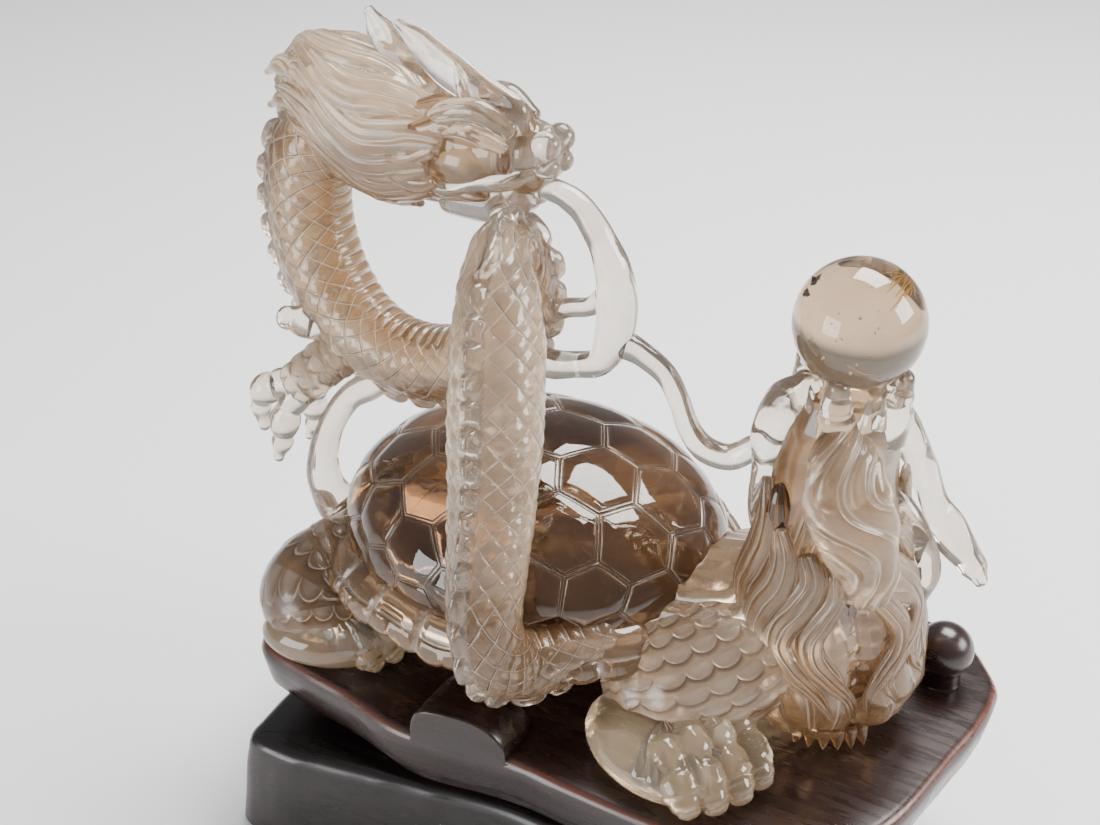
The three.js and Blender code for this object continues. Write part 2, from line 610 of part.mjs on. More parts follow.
function hill() {
  const half = hillLength / 2;
  const root = -trayThickness / 4;
  const profile = new THREE.Shape();
  profile.moveTo(-half, root);
  profile.lineTo(-half, 0);
  profile.quadraticCurveTo(-half * 0.88, hillHeight * 0.9, -half * 0.56, hillHeight);
  profile.quadraticCurveTo(half * 0.2, hillHeight * 1.08, half * 0.48, hillHeight * 0.72);
  profile.quadraticCurveTo(half * 0.8, hillHeight * 0.3, half, 0);
  profile.lineTo(half, root);
  const long = new THREE.ExtrudeGeometry(profile, {
    depth: 2 * hillDepth, bevelEnabled: false, curveSegments: 4,
  });
  long.rotateX(Math.PI / 2);
  const [x, y] = onStand(hillPlace);
  long.translate(x, y + hillDepth, 0);
  const side = block(trayShape, [[2 * hillHeight, 0], [2 * root, 0]], traySides);
  return solid(long).intersect(side);
}

// The round knob on the far edge
const knobPlace = [0.84, 0.54];

function knob() {
  const [x, y] = onStand(knobPlace);
  const ball = new THREE.SphereGeometry(knobDiameter / 2, 10, 7);
  ball.rotateX(Math.PI / 2);
  ball.translate(x, y, knobNeckHeight + knobDiameter * 0.42);
  const neck = new THREE.CylinderGeometry(knobNeckDiameter / 2, knobNeckDiameter / 2, 2 * knobNeckHeight, 8);
  neck.rotateX(Math.PI / 2);
  neck.translate(x, y, knobNeckHeight / 2);
  return join([solid(ball), solid(neck)]);
}

const traySides = 32;

function standTray() {
  const top = block(trayShape, [
    [0, trayEdgeRound], [-trayEdgeRound, 0], [-trayThickness * 0.6, trayTaper / 4], [-trayThickness, trayTaper],
    [-trayThickness, neckInset], [-trayThickness - neckHeight + restingGap, neckInset],
  ], traySides);
  return join([top, hill(), knob()]);
}

function standPlinth() {
  return block(plinthShape, [
    [plinthHeight, plinthFlare + plinthEdgeRound], [plinthHeight - plinthEdgeRound, plinthFlare],
    [plinthEdgeRound / 2, 0], [0, plinthEdgeRound / 3],
  ], 28);
}

const rockCrystal = new THREE.MeshStandardMaterial({ color: 0xd9cfc2, roughness: 0.2, metalness: 0 });
const darkRosewood = new THREE.MeshStandardMaterial({ color: 0x2c1612, roughness: 0.35, metalness: 0 });
const blackenedWood = new THREE.MeshStandardMaterial({ color: 0x1c1214, roughness: 0.4, metalness: 0 });

function piece(name, manifold, material, height) {
  const mesh = new THREE.Mesh(geometryOf(manifold), material);
  mesh.name = name;
  mesh.position.z = height;
  return mesh;
}

// The pieces stand round the middle of the plinth's underside
const model = new THREE.Group();
const standing = new THREE.Group();
standing.position.set(-standMiddle[0], -standMiddle[1], 0);
standing.add(piece('crystal_carving', crystalCarving(), rockCrystal, trayTop));
standing.add(piece('stand_tray', standTray(), darkRosewood, trayTop));
standing.add(piece('stand_plinth', standPlinth(), blackenedWood, 0));
model.add(standing);

export default model;
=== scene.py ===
"""A dragon turtle carved from one block of quartz, with a serpent dragon arching over its shell,
on a two-tier rosewood stand. Lengths are millimetres until a mesh is made. A place on the carving
is measured from the middle of the shell and from the top of the tray."""

import bpy
import numpy as np
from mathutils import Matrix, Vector


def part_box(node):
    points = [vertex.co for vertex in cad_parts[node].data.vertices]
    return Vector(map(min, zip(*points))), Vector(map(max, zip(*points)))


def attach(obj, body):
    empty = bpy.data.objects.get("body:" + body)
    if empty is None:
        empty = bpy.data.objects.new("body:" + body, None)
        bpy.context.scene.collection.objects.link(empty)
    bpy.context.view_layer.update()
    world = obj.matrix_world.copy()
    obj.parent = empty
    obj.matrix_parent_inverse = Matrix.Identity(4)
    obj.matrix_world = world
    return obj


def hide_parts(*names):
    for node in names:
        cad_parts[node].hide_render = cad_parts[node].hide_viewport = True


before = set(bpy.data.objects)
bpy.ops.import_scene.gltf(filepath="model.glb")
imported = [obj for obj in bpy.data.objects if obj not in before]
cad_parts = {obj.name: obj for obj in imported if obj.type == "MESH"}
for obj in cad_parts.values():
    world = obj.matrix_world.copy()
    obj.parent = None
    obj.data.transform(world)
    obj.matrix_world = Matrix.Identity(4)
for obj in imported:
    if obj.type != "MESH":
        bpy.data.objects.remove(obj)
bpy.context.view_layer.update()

# Sizes that the frame gives
STANDARD_HEIGHT = 139.0
RESTING_GAP = 0.3
crystal_low, crystal_high = (np.array(corner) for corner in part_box("crystal_carving"))
METRES = (crystal_high[2] - crystal_low[2]) / (STANDARD_HEIGHT - RESTING_GAP)
TRAY_TOP = crystal_low[2] - RESTING_GAP * METRES
STAND_MIDDLE = np.array([22.0, 0.0, 0.0])

# Finishes of the quartz, as slots of one mesh
CLEAR, SMOOTH, HAIR, SCALED, SHINGLED, SMOKY, EDGE, SOLE, PEARL = range(9)


def in_metres(points):
    """Moves places on the carving to the stand's middle, and turns them into metres."""
    return (np.asarray(points) - STAND_MIDDLE) * METRES + np.array([0.0, 0.0, TRAY_TOP])


def smooth(x):
    """The easing curve 3x squared minus 2x cubed, held between 0 and 1."""
    x = np.clip(x, 0.0, 1.0)
    return x * x * (3.0 - 2.0 * x)


def groove(x, width):
    """1 where x is a whole number, falling off as a bell curve of that width on both sides."""
    return np.exp(-(((x - np.round(x)) / width) ** 2))


def bell(x, middle, width):
    """A bell curve of that width about a middle."""
    return np.exp(-(((x - middle) / width) ** 2))


def wrapped(angle):
    """The same angle between minus and plus half a turn."""
    return (angle + np.pi) % (2 * np.pi) - np.pi


class Form:
    """A closed surface: points, four-sided faces, three-sided faces, the finish of each face, how
    far each point lies in a cut line, and two pattern marks for each corner of each face."""

    def __init__(self, points, quads, tris, finish, line=None, marks=None):
        self.points = np.asarray(points, float)
        self.quads = np.asarray(quads, int).reshape(-1, 4)
        self.tris = np.asarray(tris, int).reshape(-1, 3)
        self.finish = np.broadcast_to(np.asarray(finish), (len(self.quads) + len(self.tris),))
        self.line = np.zeros(len(self.points)) if line is None else np.asarray(line, float)
        self.marks = marks or [np.full((*faces.shape, 2), 0.5) for faces in (self.quads, self.tris)]
        if self.volume() < 0:
            self.quads = self.quads[:, ::-1]
            self.tris = self.tris[:, ::-1]
            self.marks = [corners[:, ::-1] for corners in self.marks]

    def volume(self):
        """Six times the signed volume: each triangle's corner times the cross of its other two,
        added up."""
        halves = [self.tris, self.quads[:, [0, 1, 2]], self.quads[:, [0, 2, 3]]]
        a, b, c = (self.points[np.vstack(halves)[:, k]] for k in range(3))
        return np.einsum("ij,ij->i", a, np.cross(b, c)).sum()


def tube_skin(rows, first, last, finish, line=None, marks=None):
    """Joins rings of points to their neighbours, and each end ring to an end point by a fan.
    finish is one number, or one for each face. marks holds a column more than the rings do."""
    rings, sides, _ = rows.shape
    i = np.arange(rings - 1)[:, None]
    j = np.arange(sides)[None, :]
    n = (j + 1) % sides
    low, high = i * sides, (i + 1) * sides
    quads = np.stack(np.broadcast_arrays(low + j, low + n, high + n, high + j), -1)
    start, end = rings * sides, rings * sides + 1
    around = np.arange(sides)
    after = (around + 1) % sides
    base = (rings - 1) * sides
    fans = np.vstack([
        np.stack([np.full(sides, start), after, around], -1),
        np.stack([np.full(sides, end), base + around, base + after], -1),
    ])
    points = np.vstack([rows.reshape(-1, 3), first, last])
    lines = None if line is None else np.concatenate([line.ravel(), [0.0, 0.0]])
    faces = np.broadcast_to(finish, (rings - 1, sides))
    faces = np.concatenate([faces.ravel(), faces[0], faces[-1]])
    corners = None
    if marks is not None:
        body = np.stack([marks[:-1, :-1], marks[:-1, 1:], marks[1:, 1:], marks[1:, :-1]], 2)
        body = body.reshape(-1, 4, 2)
        head = np.stack([(marks[0, :-1] + marks[0, 1:]) / 2, marks[0, 1:], marks[0, :-1]], 1)
        foot = np.stack([(marks[-1, :-1] + marks[-1, 1:]) / 2, marks[-1, :-1], marks[-1, 1:]], 1)
        corners = [body, np.concatenate([head, foot])]
    return Form(points, quads.reshape(-1, 4), fans, faces, lines, corners)


def route(stations, rings):
    """A smooth curve through stations, in steps of even length: each stretch blends the four
    stations round it, with knots as far apart as the square root of their distance. Gives
    points, directions, and the station number and length along it of each point."""
    spots = np.asarray([station[:3] for station in stations], float)
    spots = np.vstack([2 * spots[0] - spots[1], spots, 2 * spots[-1] - spots[-2]])
    spans = len(stations) - 1
    at = np.linspace(0, spans, 60 * spans + 1)

    def spot(t):
        k = np.minimum(t.astype(int), spans - 1)
        w = (t - k)[:, None]
        a, b, c, d = spots[k], spots[k + 1], spots[k + 2], spots[k + 3]
        ab, bc, cd = (np.sqrt(np.linalg.norm(q - p, axis=1))[:, None] for p, q in ((a, b), (b, c), (c, d)))
        out = ((b - a) / ab - (c - a) / (ab + bc) + (c - b) / bc) * bc
        into = ((c - b) / bc - (d - b) / (bc + cd) + (d - c) / cd) * bc
        return b + out * w + (3 * (c - b) - 2 * out - into) * w ** 2 + (2 * (b - c) + out + into) * w ** 3

    dense = spot(at)
    steps = np.linalg.norm(np.diff(dense, axis=0), axis=1)
    run = np.concatenate([[0.0], np.cumsum(steps)])
    even = np.interp(np.linspace(0, run[-1], rings + 1), run, at)
    points = spot(even)
    ahead = np.gradient(dense, axis=0)
    direction = np.stack([np.interp(even, at, ahead[:, k]) for k in range(3)], -1)
    direction /= np.linalg.norm(direction, axis=1)[:, None]
    return points, direction, even, run[-1]


def between(values, at):
    """Values at stations, eased from each one to the next."""
    values = np.asarray(values, float)
    low = np.minimum(at.astype(int), len(values) - 2)
    mix = smooth(at - low)
    if values.ndim > 1:
        mix = mix[:, None]
    return values[low] * (1 - mix) + values[low + 1] * mix


def backs_of(direction, at, backs):
    """The direction of angle 0 at each ring: eased between given ones, or else carried along the
    curve without twist, starting upwards."""
    if backs is not None:
        back = between(backs, at)
        back -= np.einsum("ij,ij->i", back, direction)[:, None] * direction
        return back / np.linalg.norm(back, axis=1)[:, None]
    back = np.empty_like(direction)
    now = np.array([0.0, 0.0, 1.0]) if abs(direction[0, 2]) < 0.9 else np.array([1.0, 0.0, 0.0])
    for ring, way in enumerate(direction):
        now = now - now.dot(way) * way
        now /= np.linalg.norm(now)
        back[ring] = now
    return back


def bar(stations, rings, sides, finish, tips=(0.5, 0.5), backs=None, relief=None, turns=None, cap=3,
        marks=None, other=None):
    """A closed bar along a route. Each ring is an ellipse of the station's half height, along the
    back, and half width, and relief(along, angle, length) adds its depth and its cut lines. Each
    end closes as a quarter ellipse that reaches out by its tip's share of the smaller half size.
    marks(along, angle, length) gives the pattern's two marks, and other is (where, finish, marks)
    for the faces where(along, angle) picks out."""
    points, direction, at, length = route(stations, rings)
    high = between([s[3] for s in stations], at)
    wide = between([s[4] if len(s) > 4 else s[3] for s in stations], at)
    back = backs_of(direction, at, backs)
    side = np.cross(back, direction)
    turn = np.linspace(0, 2 * np.pi, sides, endpoint=False) if turns is None else turns
    along, angle = np.meshgrid(np.linspace(0, 1, rings + 1), turn, indexing="ij")
    cut, line = relief(along, angle, length) if relief else (np.zeros_like(along), np.zeros_like(along))
    rows = (
        points[:, None]
        + back[:, None] * (np.cos(angle) * (high[:, None] + cut))[..., None]
        + side[:, None] * (np.sin(angle) * (wide[:, None] + cut))[..., None]
    )
    fall = np.arange(1, cap + 1) / (cap + 1) * np.pi / 2
    caps = []
    for end, sign, tip in ((0, -1, tips[0]), (-1, 1, tips[1])):
        reach = tip * min(high[end], wide[end])
        ends = (points[end] + (rows[end] - points[end]) * np.cos(fall)[:, None, None]
                + sign * direction[end] * reach * np.sin(fall)[:, None, None])
        caps.append((ends, line[end] * np.cos(fall)[:, None], points[end] + sign * direction[end] * reach,
                     np.sin(fall) * reach / length))
    rows = np.concatenate([caps[0][0][::-1], rows, caps[1][0]])
    line = np.concatenate([caps[0][1][::-1], line, caps[1][1]])
    whole = np.concatenate([-caps[0][3][::-1], np.linspace(0, 1, rings + 1), 1 + caps[1][3]])
    along, angle = np.meshgrid(whole, np.append(turn, turn[0] + 2 * np.pi), indexing="ij")
    pattern = None
    if marks:
        pattern = np.stack(np.broadcast_arrays(*marks(along, angle, length)), -1)
    form = tube_skin(rows, caps[0][2], caps[1][2], finish, line, pattern)
    for where, second, marks_there in other or ():
        middle = [(a[:-1, :-1] + a[1:, 1:]) / 2 for a in (along, angle)]
        chosen = where(*middle)
        chosen = np.concatenate([chosen.ravel(), chosen[0], chosen[-1]])
        pattern = None
        if marks_there:
            pattern = np.stack(np.broadcast_arrays(*marks_there(along, angle, length)), -1)
        twin = tube_skin(rows, caps[0][2], caps[1][2], second, line, pattern)
        form.finish = np.where(chosen, second, form.finish)
        split = len(form.quads)
        groups = zip((chosen[:split], chosen[split:]), twin.marks, form.marks)
        form.marks = [np.where(part[:, None, None], theirs, ours) for part, theirs, ours in groups]
    return form


def ball(centre, sizes, finish, sides=24, rings=16, turn=0.0, relief=None, marks=None):
    """A ball stretched to three half sizes and turned about Z. Its rings run from pole to pole."""
    fall, around = np.meshgrid(np.linspace(0, np.pi, rings + 1)[1:-1],
                               np.linspace(0, 2 * np.pi, sides + 1), indexing="ij")
    pattern = np.stack(np.broadcast_arrays(*marks(fall, around)), -1) if marks else None
    fall, around = fall[:, :-1], around[:, :-1]
    way = np.stack([np.sin(fall) * np.cos(around), np.sin(fall) * np.sin(around), np.cos(fall)], -1)
    cut, line = relief(fall, around) if relief else (np.zeros_like(fall), np.zeros_like(fall))
    rows = way * (np.asarray(sizes) + cut[..., None])
    rotation = np.array([[np.cos(turn), -np.sin(turn), 0], [np.sin(turn), np.cos(turn), 0], [0, 0, 1]])
    rows = rows @ rotation.T + centre
    top = np.asarray(centre) + [0, 0, sizes[2]]
    low = np.asarray(centre) - [0, 0, sizes[2]]
    return tube_skin(rows, top, low, finish, line, pattern)


def spike(root, point, thick, finish, sides=10, rings=6):
    """A straight tooth that narrows from its root to a rounded point."""
    root, point = np.asarray(root, float), np.asarray(point, float)
    stations = [(*(root + (point - root) * t), thick * (1 - t) ** 0.8 + 0.15) for t in (0, 0.35, 0.7, 1)]
    return bar(stations, rings, sides, finish, tips=(0.3, 0.9), cap=2)


# Carved patterns
def pillows(u, v):
    """Height of rounded rhombs between slanting lines where u plus v or u minus v is whole."""
    return np.abs(np.sin(np.pi * (u + v)) * np.sin(np.pi * (u - v)))


def shingles(u, v):
    """Rows of round scales, u running down the rows and v across them, one to a scale. A scale has
    straight sides above its row's line and a half circle below it, and hides the next row. It
    rises to its lower edge."""
    def row_at(k):
        off = v - (k % 2) / 2
        far = np.hypot(np.maximum(u - k, 0) * 0.8, off - np.round(off)) / 0.54
        return far, np.clip((u - k + 0.6) / 1.2, 0, 1)

    base = np.floor(u)
    far, upper = row_at(base)
    _, lower = row_at(base + 1)
    return np.where(far < 1, upper * (1 - 0.5 * smooth((far - 0.85) / 0.15)), lower * 0.8), np.zeros_like(u)


def strands(phase):
    """Rounded strands, one to each whole number of phase, with a fine line down each flank."""
    ridge = np.abs(np.cos(np.pi * phase)) ** 0.7
    line = groove(phase + 0.5, 0.07) + 0.6 * groove(phase + 0.27, 0.04) + 0.6 * groove(phase - 0.27, 0.04)
    return ridge - 0.3 * np.clip(line, 0, 1), np.clip(line, 0, 1)


# Shell
DOME_BASE = 27.0
DOME = np.array([44.0, 37.5, 25.0])
DOME_MAP = np.array([55.5, 49.5])
RIM = {"long": 50.0, "wide": 43.5, "top": 26.5, "low": 20.5}
RIM_UNDERSIDE = RIM["low"] - 2.5
SCUTE_ACROSS = 15.5
MARGINALS = 23
SHELL_CORE = {"centre": (0, 0, 21.5), "sizes": (45, 39, 13)}


def on_dome(flat, lift):
    """A point of the dome's flat map, bent over the dome: its distance from the middle becomes
    an angle from the top, and lift is added to the three half sizes."""
    x, y = flat[..., 0] / DOME_MAP[0], flat[..., 1] / DOME_MAP[1]
    fall = np.hypot(x, y) * np.pi / 2
    around = np.arctan2(y, x)
    lift = np.broadcast_to(lift, fall.shape)
    return np.stack([
        (DOME[0] + lift) * np.sin(fall) * np.cos(around),
        (DOME[1] + lift) * np.sin(fall) * np.sin(around),
        DOME_BASE + (DOME[2] + lift) * np.cos(fall),
    ], -1)


def scute_middles(column, row):
    """Middles of a honeycomb of scutes, each shifted a little by sines of its column and row."""
    wander = 0.13 * SCUTE_ACROSS
    stagger = (np.abs(row) % 2) / 2
    return np.stack([
        row * np.sqrt(3) * SCUTE_ACROSS / 2 + 4 + np.cos(column * 39.3 + row * 11.1) * wander,
        (column + stagger) * SCUTE_ACROSS + 1.5 + np.sin(column * 12.9 + row * 78.2) * wander,
    ], -1)


def scuted_dome():
    """Each scute is rings of its own six-sided outline, shrunk towards its middle, with a lift for
    each ring: a slightly domed plate, a cut line, and a lower strip shared with its neighbours."""
    reach = 5
    cells = np.array([(c, r) for r in range(-reach, reach + 1) for c in range(-reach, reach + 1)])
    middle = scute_middles(cells[:, 0], cells[:, 1])
    keep = np.hypot(middle[:, 0] / DOME_MAP[0], middle[:, 1] / DOME_MAP[1]) <= 1.06
    cells, middle = cells[keep], middle[keep]
    odd = np.abs(cells[:, 1]) % 2
    zero, one = np.zeros_like(odd), np.ones_like(odd)
    steps = [(zero, one), (one, odd), (one, odd - 1), (zero, -one), (-one, odd - 1), (-one, odd)]
    near = np.stack([scute_middles(cells[:, 0] + dc, cells[:, 1] + dr) for dr, dc in steps], 1)
    corner = (middle[:, None] + near + np.roll(near, -1, axis=1)) / 3
    parts = 5
    share = np.arange(parts)[None, None, :, None] / parts
    border = corner[:, :, None] * (1 - share) + np.roll(corner, -1, axis=1)[:, :, None] * share
    border = border.reshape(len(cells), 6 * parts, 2)
    rings = np.array([0.35, 0.62, 0.82, 0.895, 0.912, 0.93, 0.965, 0.982, 1.0])
    lifts = np.array([0.42, 0.3, 0.12, 0.0, -0.5, -0.22, -0.2, -0.24, -0.5])
    lines = np.array([0.0, 0.0, 0.0, 0.05, 1.0, 0.1, 0.0, 0.05, 0.8])
    flat = middle[:, None, None] + (border[:, None] - middle[:, None, None]) * rings[None, :, None, None]
    points = on_dome(flat, lifts[None, :, None])
    hub = on_dome(middle, np.full(len(cells), 0.46))
    count, sides = len(rings), 6 * parts
    per = count * sides + 1
    start = (np.arange(len(cells)) * per)[:, None, None]
    i = np.arange(count - 1)[None, :, None]
    j = np.arange(sides)[None, None, :]
    n = (j + 1) % sides
    low, high = start + i * sides, start + (i + 1) * sides
    quads = np.stack(np.broadcast_arrays(low + j, low + n, high + n, high + j), -1)
    fans = np.stack(np.broadcast_arrays(start + count * sides, start + n, start + j), -1)
    points = np.concatenate([points.reshape(len(cells), -1, 3), hub[:, None]], 1).reshape(-1, 3)
    line = np.broadcast_to(np.append(np.repeat(lines, sides), 0.0), (len(cells), per)).ravel()
    _, first, same = np.unique(np.round(points, 3), axis=0, return_index=True, return_inverse=True)
    same = same.ravel()
    points, line = points[first], line[first]
    quads, fans = same[quads.reshape(-1, 4)], same[fans.reshape(-1, 3)]
    total = len(points)
    edges = np.vstack([np.stack([f, np.roll(f, -1, axis=1)], -1).reshape(-1, 2) for f in (quads, fans)])
    code = edges[:, 0] * total + edges[:, 1]
    open_edges = edges[~np.isin(code, edges[:, 1] * total + edges[:, 0])]
    skirt = np.stack([np.full(len(open_edges), total), open_edges[:, 1], open_edges[:, 0]], -1)
    points = np.vstack([points, [0.0, 0.0, RIM_UNDERSIDE]])
    return Form(points, quads, np.vstack([fans, skirt]), SMOKY, np.append(line, 0.0))


def marginal_rim():
    """A band round the shell: a closed profile of radius and height turned round an ellipse, with
    a radial cut line between its plates, a line below the upper row and a wavy lower edge."""
    profile = np.array(
        [
            (0.72, RIM_UNDERSIDE), (0.86, RIM_UNDERSIDE + 0.2), (0.975, RIM["low"] - 1.8),
            (0.996, RIM["low"] - 0.9), (1.003, RIM["low"] + 0.8), (0.978, 22.7), (0.968, 23.0),
            (0.958, 23.4), (0.92, 25.2), (0.875, RIM["top"] + 0.4), (0.8, 27.0), (0.72, 24.0),
        ]
    )
    turns = np.linspace(0, 2 * np.pi, MARGINALS * 14, endpoint=False)
    around, k = np.meshgrid(turns, np.arange(len(profile)), indexing="ij")
    radius, z = profile[k, 0], profile[k, 1]
    plate = around / (2 * np.pi) * MARGINALS
    line = groove(plate, 0.05) * (radius > 0.85)
    line = np.maximum(line, (k == 6) * 0.7)
    wave = np.where(radius > 0.95, 0.6 * np.sin(around * 9) + 0.45 * np.sin(around * 14 + 1), 0)
    lobes = np.where(k <= 4, 0.9 * np.abs(np.sin(plate * 2 * np.pi)) ** 0.7, 0) * (radius > 0.95)
    swell = 0.012 * np.abs(np.sin(plate * np.pi)) ** 0.6 * (radius > 0.85)
    rows = np.stack([
        (RIM["long"] * (radius + swell) - 0.5 * line) * np.cos(around),
        (RIM["wide"] * (radius + swell) - 0.5 * line) * np.sin(around),
        z - 0.35 * line + wave - lobes,
    ], -1)
    count, sides = rows.shape[:2]
    i = np.arange(count)[:, None]
    j = np.arange(sides)[None, :]
    m, n = (i + 1) % count, (j + 1) % sides
    quads = np.stack(np.broadcast_arrays(i * sides + j, i * sides + n, m * sides + n, m * sides + j), -1)
    return Form(rows.reshape(-1, 3), quads.reshape(-1, 4), np.zeros((0, 3)), EDGE, line.ravel())


# Legs. A shank's scales run down it, or hang in rows along it where hang is 1 or minus 1, the side
# that they turn to.
LEG_SCALE = (4.3, 16)
HANGING_SCALE = (5.2, 20)
FRONT_LEG = {
    "shank": [
        (33, -20, 9, 7), (38, -19, 11.5, 11.5), (44, -17, 13.5, 14), (51, -12, 17, 14.5),
        (58, -5, 21.5, 13.5)
    ],
    "hang": -1, "foot": (46.5, -29, 5.4), "size": (18.0, 13, 7.4), "turn": -0.35, "toe": 4.1,
    "toes": [
        ((50.4, -35, 8.2), (58, -40.4, 4.2)), ((53.2, -30.2, 9), (62, -36.6, 4.2)),
        ((55.4, -25, 9.2), (65, -31.5, 4.2)), ((57.2, -19.5, 9), (66.8, -25.6, 4.2)),
    ],
}
REAR_LEG = {
    "shank": [(-30, -16, 18, 11), (-37, -22, 14, 13), (-40, -28, 10.5, 13.5), (-38, -31, 6, 12)],
    "hang": 0, "foot": (-34, -33, 5), "size": (15.5, 9.5, 6.5), "turn": 0.35, "toe": 3.0,
    "toes": [
        ((-27, -34, 4), (-20.5, -34.5, 3)), ((-25, -30, 4.5), (-18.5, -30, 3.2)),
        ((-24, -26, 5), (-17.5, -25.5, 3.4)), ((-24, -22, 5), (-17.5, -21.5, 3.6)),
    ],
}
# Each swell of a toe: its share of the way to the tip, its thickness and its lift, as shares of
# the toe's half thickness
TOE_SWELLS = [
    (-0.3, 0.75, 0.1), (-0.04, 1.1, 0.3), (0.2, 1.08, 0.3), (0.36, 0.92, 0.2), (0.56, 1.12, 0.12),
    (0.78, 1.08, 0.05), (0.93, 0.86, -0.04), (1.02, 0.8, -0.12), (1.1, 0.6, -0.2),
]


def across(place):
    """The same place on the far side."""
    return (place[0], -place[1], *place[2:])


def far_leg(spec):
    """A leg's places, mirrored to the far side."""
    return {
        **spec, "shank": [across(s) for s in spec["shank"]], "foot": across(spec["foot"]),
        "hang": -spec["hang"], "turn": -spec["turn"],
        "toes": [(across(a), across(b)) for a, b in spec["toes"]],
    }


def leg(spec, detail):
    """A shank in round scales, a broad foot whose instep is cut in flutes that fan out towards the
    toes, and four toes, each a bar that swells into three round joints."""
    def scale_marks(along, angle, length):
        if spec["hang"]:
            width, rows = HANGING_SCALE
            return spec["hang"] * angle / (2 * np.pi) * rows, along * length / width
        height, scales = LEG_SCALE
        return along * length / height, angle / (2 * np.pi) * scales

    def scaled(along, angle, length):
        height, line = shingles(*scale_marks(along, angle, length))
        return 0.4 * height - 0.2, line

    sides, rings = int(96 * detail), int(30 * detail)

    def instep(fall, around):
        return smooth((1.5 - np.abs(wrapped(around))) / 0.4) * smooth((1.5 - fall) / 0.3)

    def fluted(fall, around):
        return 0.8 * np.abs(np.cos(around * 12)) * instep(fall, around), np.zeros_like(fall)

    falls, turns = (np.arange(rings - 2) + 1.5) * np.pi / rings, (np.arange(sides) + 0.5) * 2 * np.pi / sides
    fall, around = np.meshgrid(falls, turns, indexing="ij")
    foot_finish = np.where(instep(fall, around) > 0.15, CLEAR, SOLE)
    forms = [
        bar(spec["shank"], int(44 * detail), int(70 * detail), SHINGLED, relief=scaled, marks=scale_marks),
        ball(spec["foot"], spec["size"], foot_finish, sides, rings, spec["turn"], fluted),
    ]
    size = spec["toe"]
    sides, rings = int(18 * detail) + 6, int(34 * detail) + 4
    for root, tip in spec["toes"]:
        root, tip = np.asarray(root, float), np.asarray(tip, float)
        joints = [(*(root + (tip - root) * share + [0, 0, lift * size]), size * swell)
                  for share, swell, lift in TOE_SWELLS]
        forms.append(bar(joints, rings, sides, SOLE, tips=(0.5, 0.6)))
    return forms


# Neck, chest and head of the turtle
FACING = np.array([0.72, -0.69, 0.0])
FACING_TURN = np.arctan2(FACING[1], FACING[0])
CHEST = [
    (71, 3, 4.5, 12, 16.5), (70.5, 3, 12, 14.5, 20), (69.5, 3, 24, 14.5, 20), (67.5, 1.5, 38, 13.5, 18),
    (66.5, 1, 50, 12, 15), (67, 0.5, 61, 11, 12.5), (68, 0, 72, 10, 11.5), (68.8, 0, 80, 8, 9.5),
]
PEARL_SEAT = np.array([68.8, 0.0, 81.5])
PEARL_RADIUS = 12.3
CHEST_PLATE = 4.2
HAIR_RUN = 20


def chest():
    """The upright neck and chest: hair in wavy lines that part at the front over cross plates, and
    the thick neck that joins it to the shell, in folds."""
    def hair_phase(along, angle):
        turn = wrapped(angle)
        return np.abs(turn) * 3.2 + 0.5 * np.sin(along * 10 + 1.4 * turn) + 0.5 * along

    def hair(along, angle, length):
        ridge = np.abs(np.cos(np.pi * hair_phase(along, angle)))
        turn = wrapped(angle)
        parting = bell(turn, 0.0, 0.2) * smooth((0.5 - along) / 0.1)
        plates = groove(along * length / CHEST_PLATE, 0.14)
        fade = smooth((0.8 - along) / 0.15)
        shallow = (0.4 * ridge - 0.2) * fade * (1 - parting)
        return shallow - parting * (2.2 + 0.5 * plates), np.zeros_like(along)

    def hair_marks(along, angle, length):
        return hair_phase(along, angle) + 0.5, along * length / HAIR_RUN

    def plate_marks(along, angle, length):
        return along * length / CHEST_PLATE, np.full_like(along, 0.5)

    def folded(along, angle, length):
        ridge, line = strands(angle / (2 * np.pi) * 20)
        return 0.8 * ridge - 0.4, line * 0.8

    def ringed(along, angle, length):
        return along * length / 2.2, np.full_like(along, 0.5)

    parts = [
        (lambda along, angle: (np.abs(wrapped(angle)) < 0.17) & (along < 0.5), EDGE, plate_marks),
        (lambda along, angle: along > 0.74, SMOOTH, ringed),
    ]
    return [
        bar(
            CHEST, 76, 88, HAIR, tips=(0.1, 0.2), relief=hair, backs=[FACING] * len(CHEST),
            marks=hair_marks, other=parts
        ),
        bar(
            [(34, 0, 21, 12, 20), (48, 0, 22, 13, 19), (60, 1, 26, 14, 18), (66, 1, 32, 12, 15)], 24,
            64, SMOOTH, relief=folded
        ),
    ]


def chest_fringe():
    """Scale tips in a row round the foot of the chest."""
    tips = []
    for k in range(6):
        lean = FACING_TURN - 0.85 + k * 0.21
        way = np.array([np.cos(lean), np.sin(lean), 0.0])
        root = np.array([69.5, 2.0, 6.0]) + way * 12.2
        tips.append(spike(root, root + way * 2.0 - [0, 0, 3.2], 1.8, SMOOTH, 12, 8))
    return tips


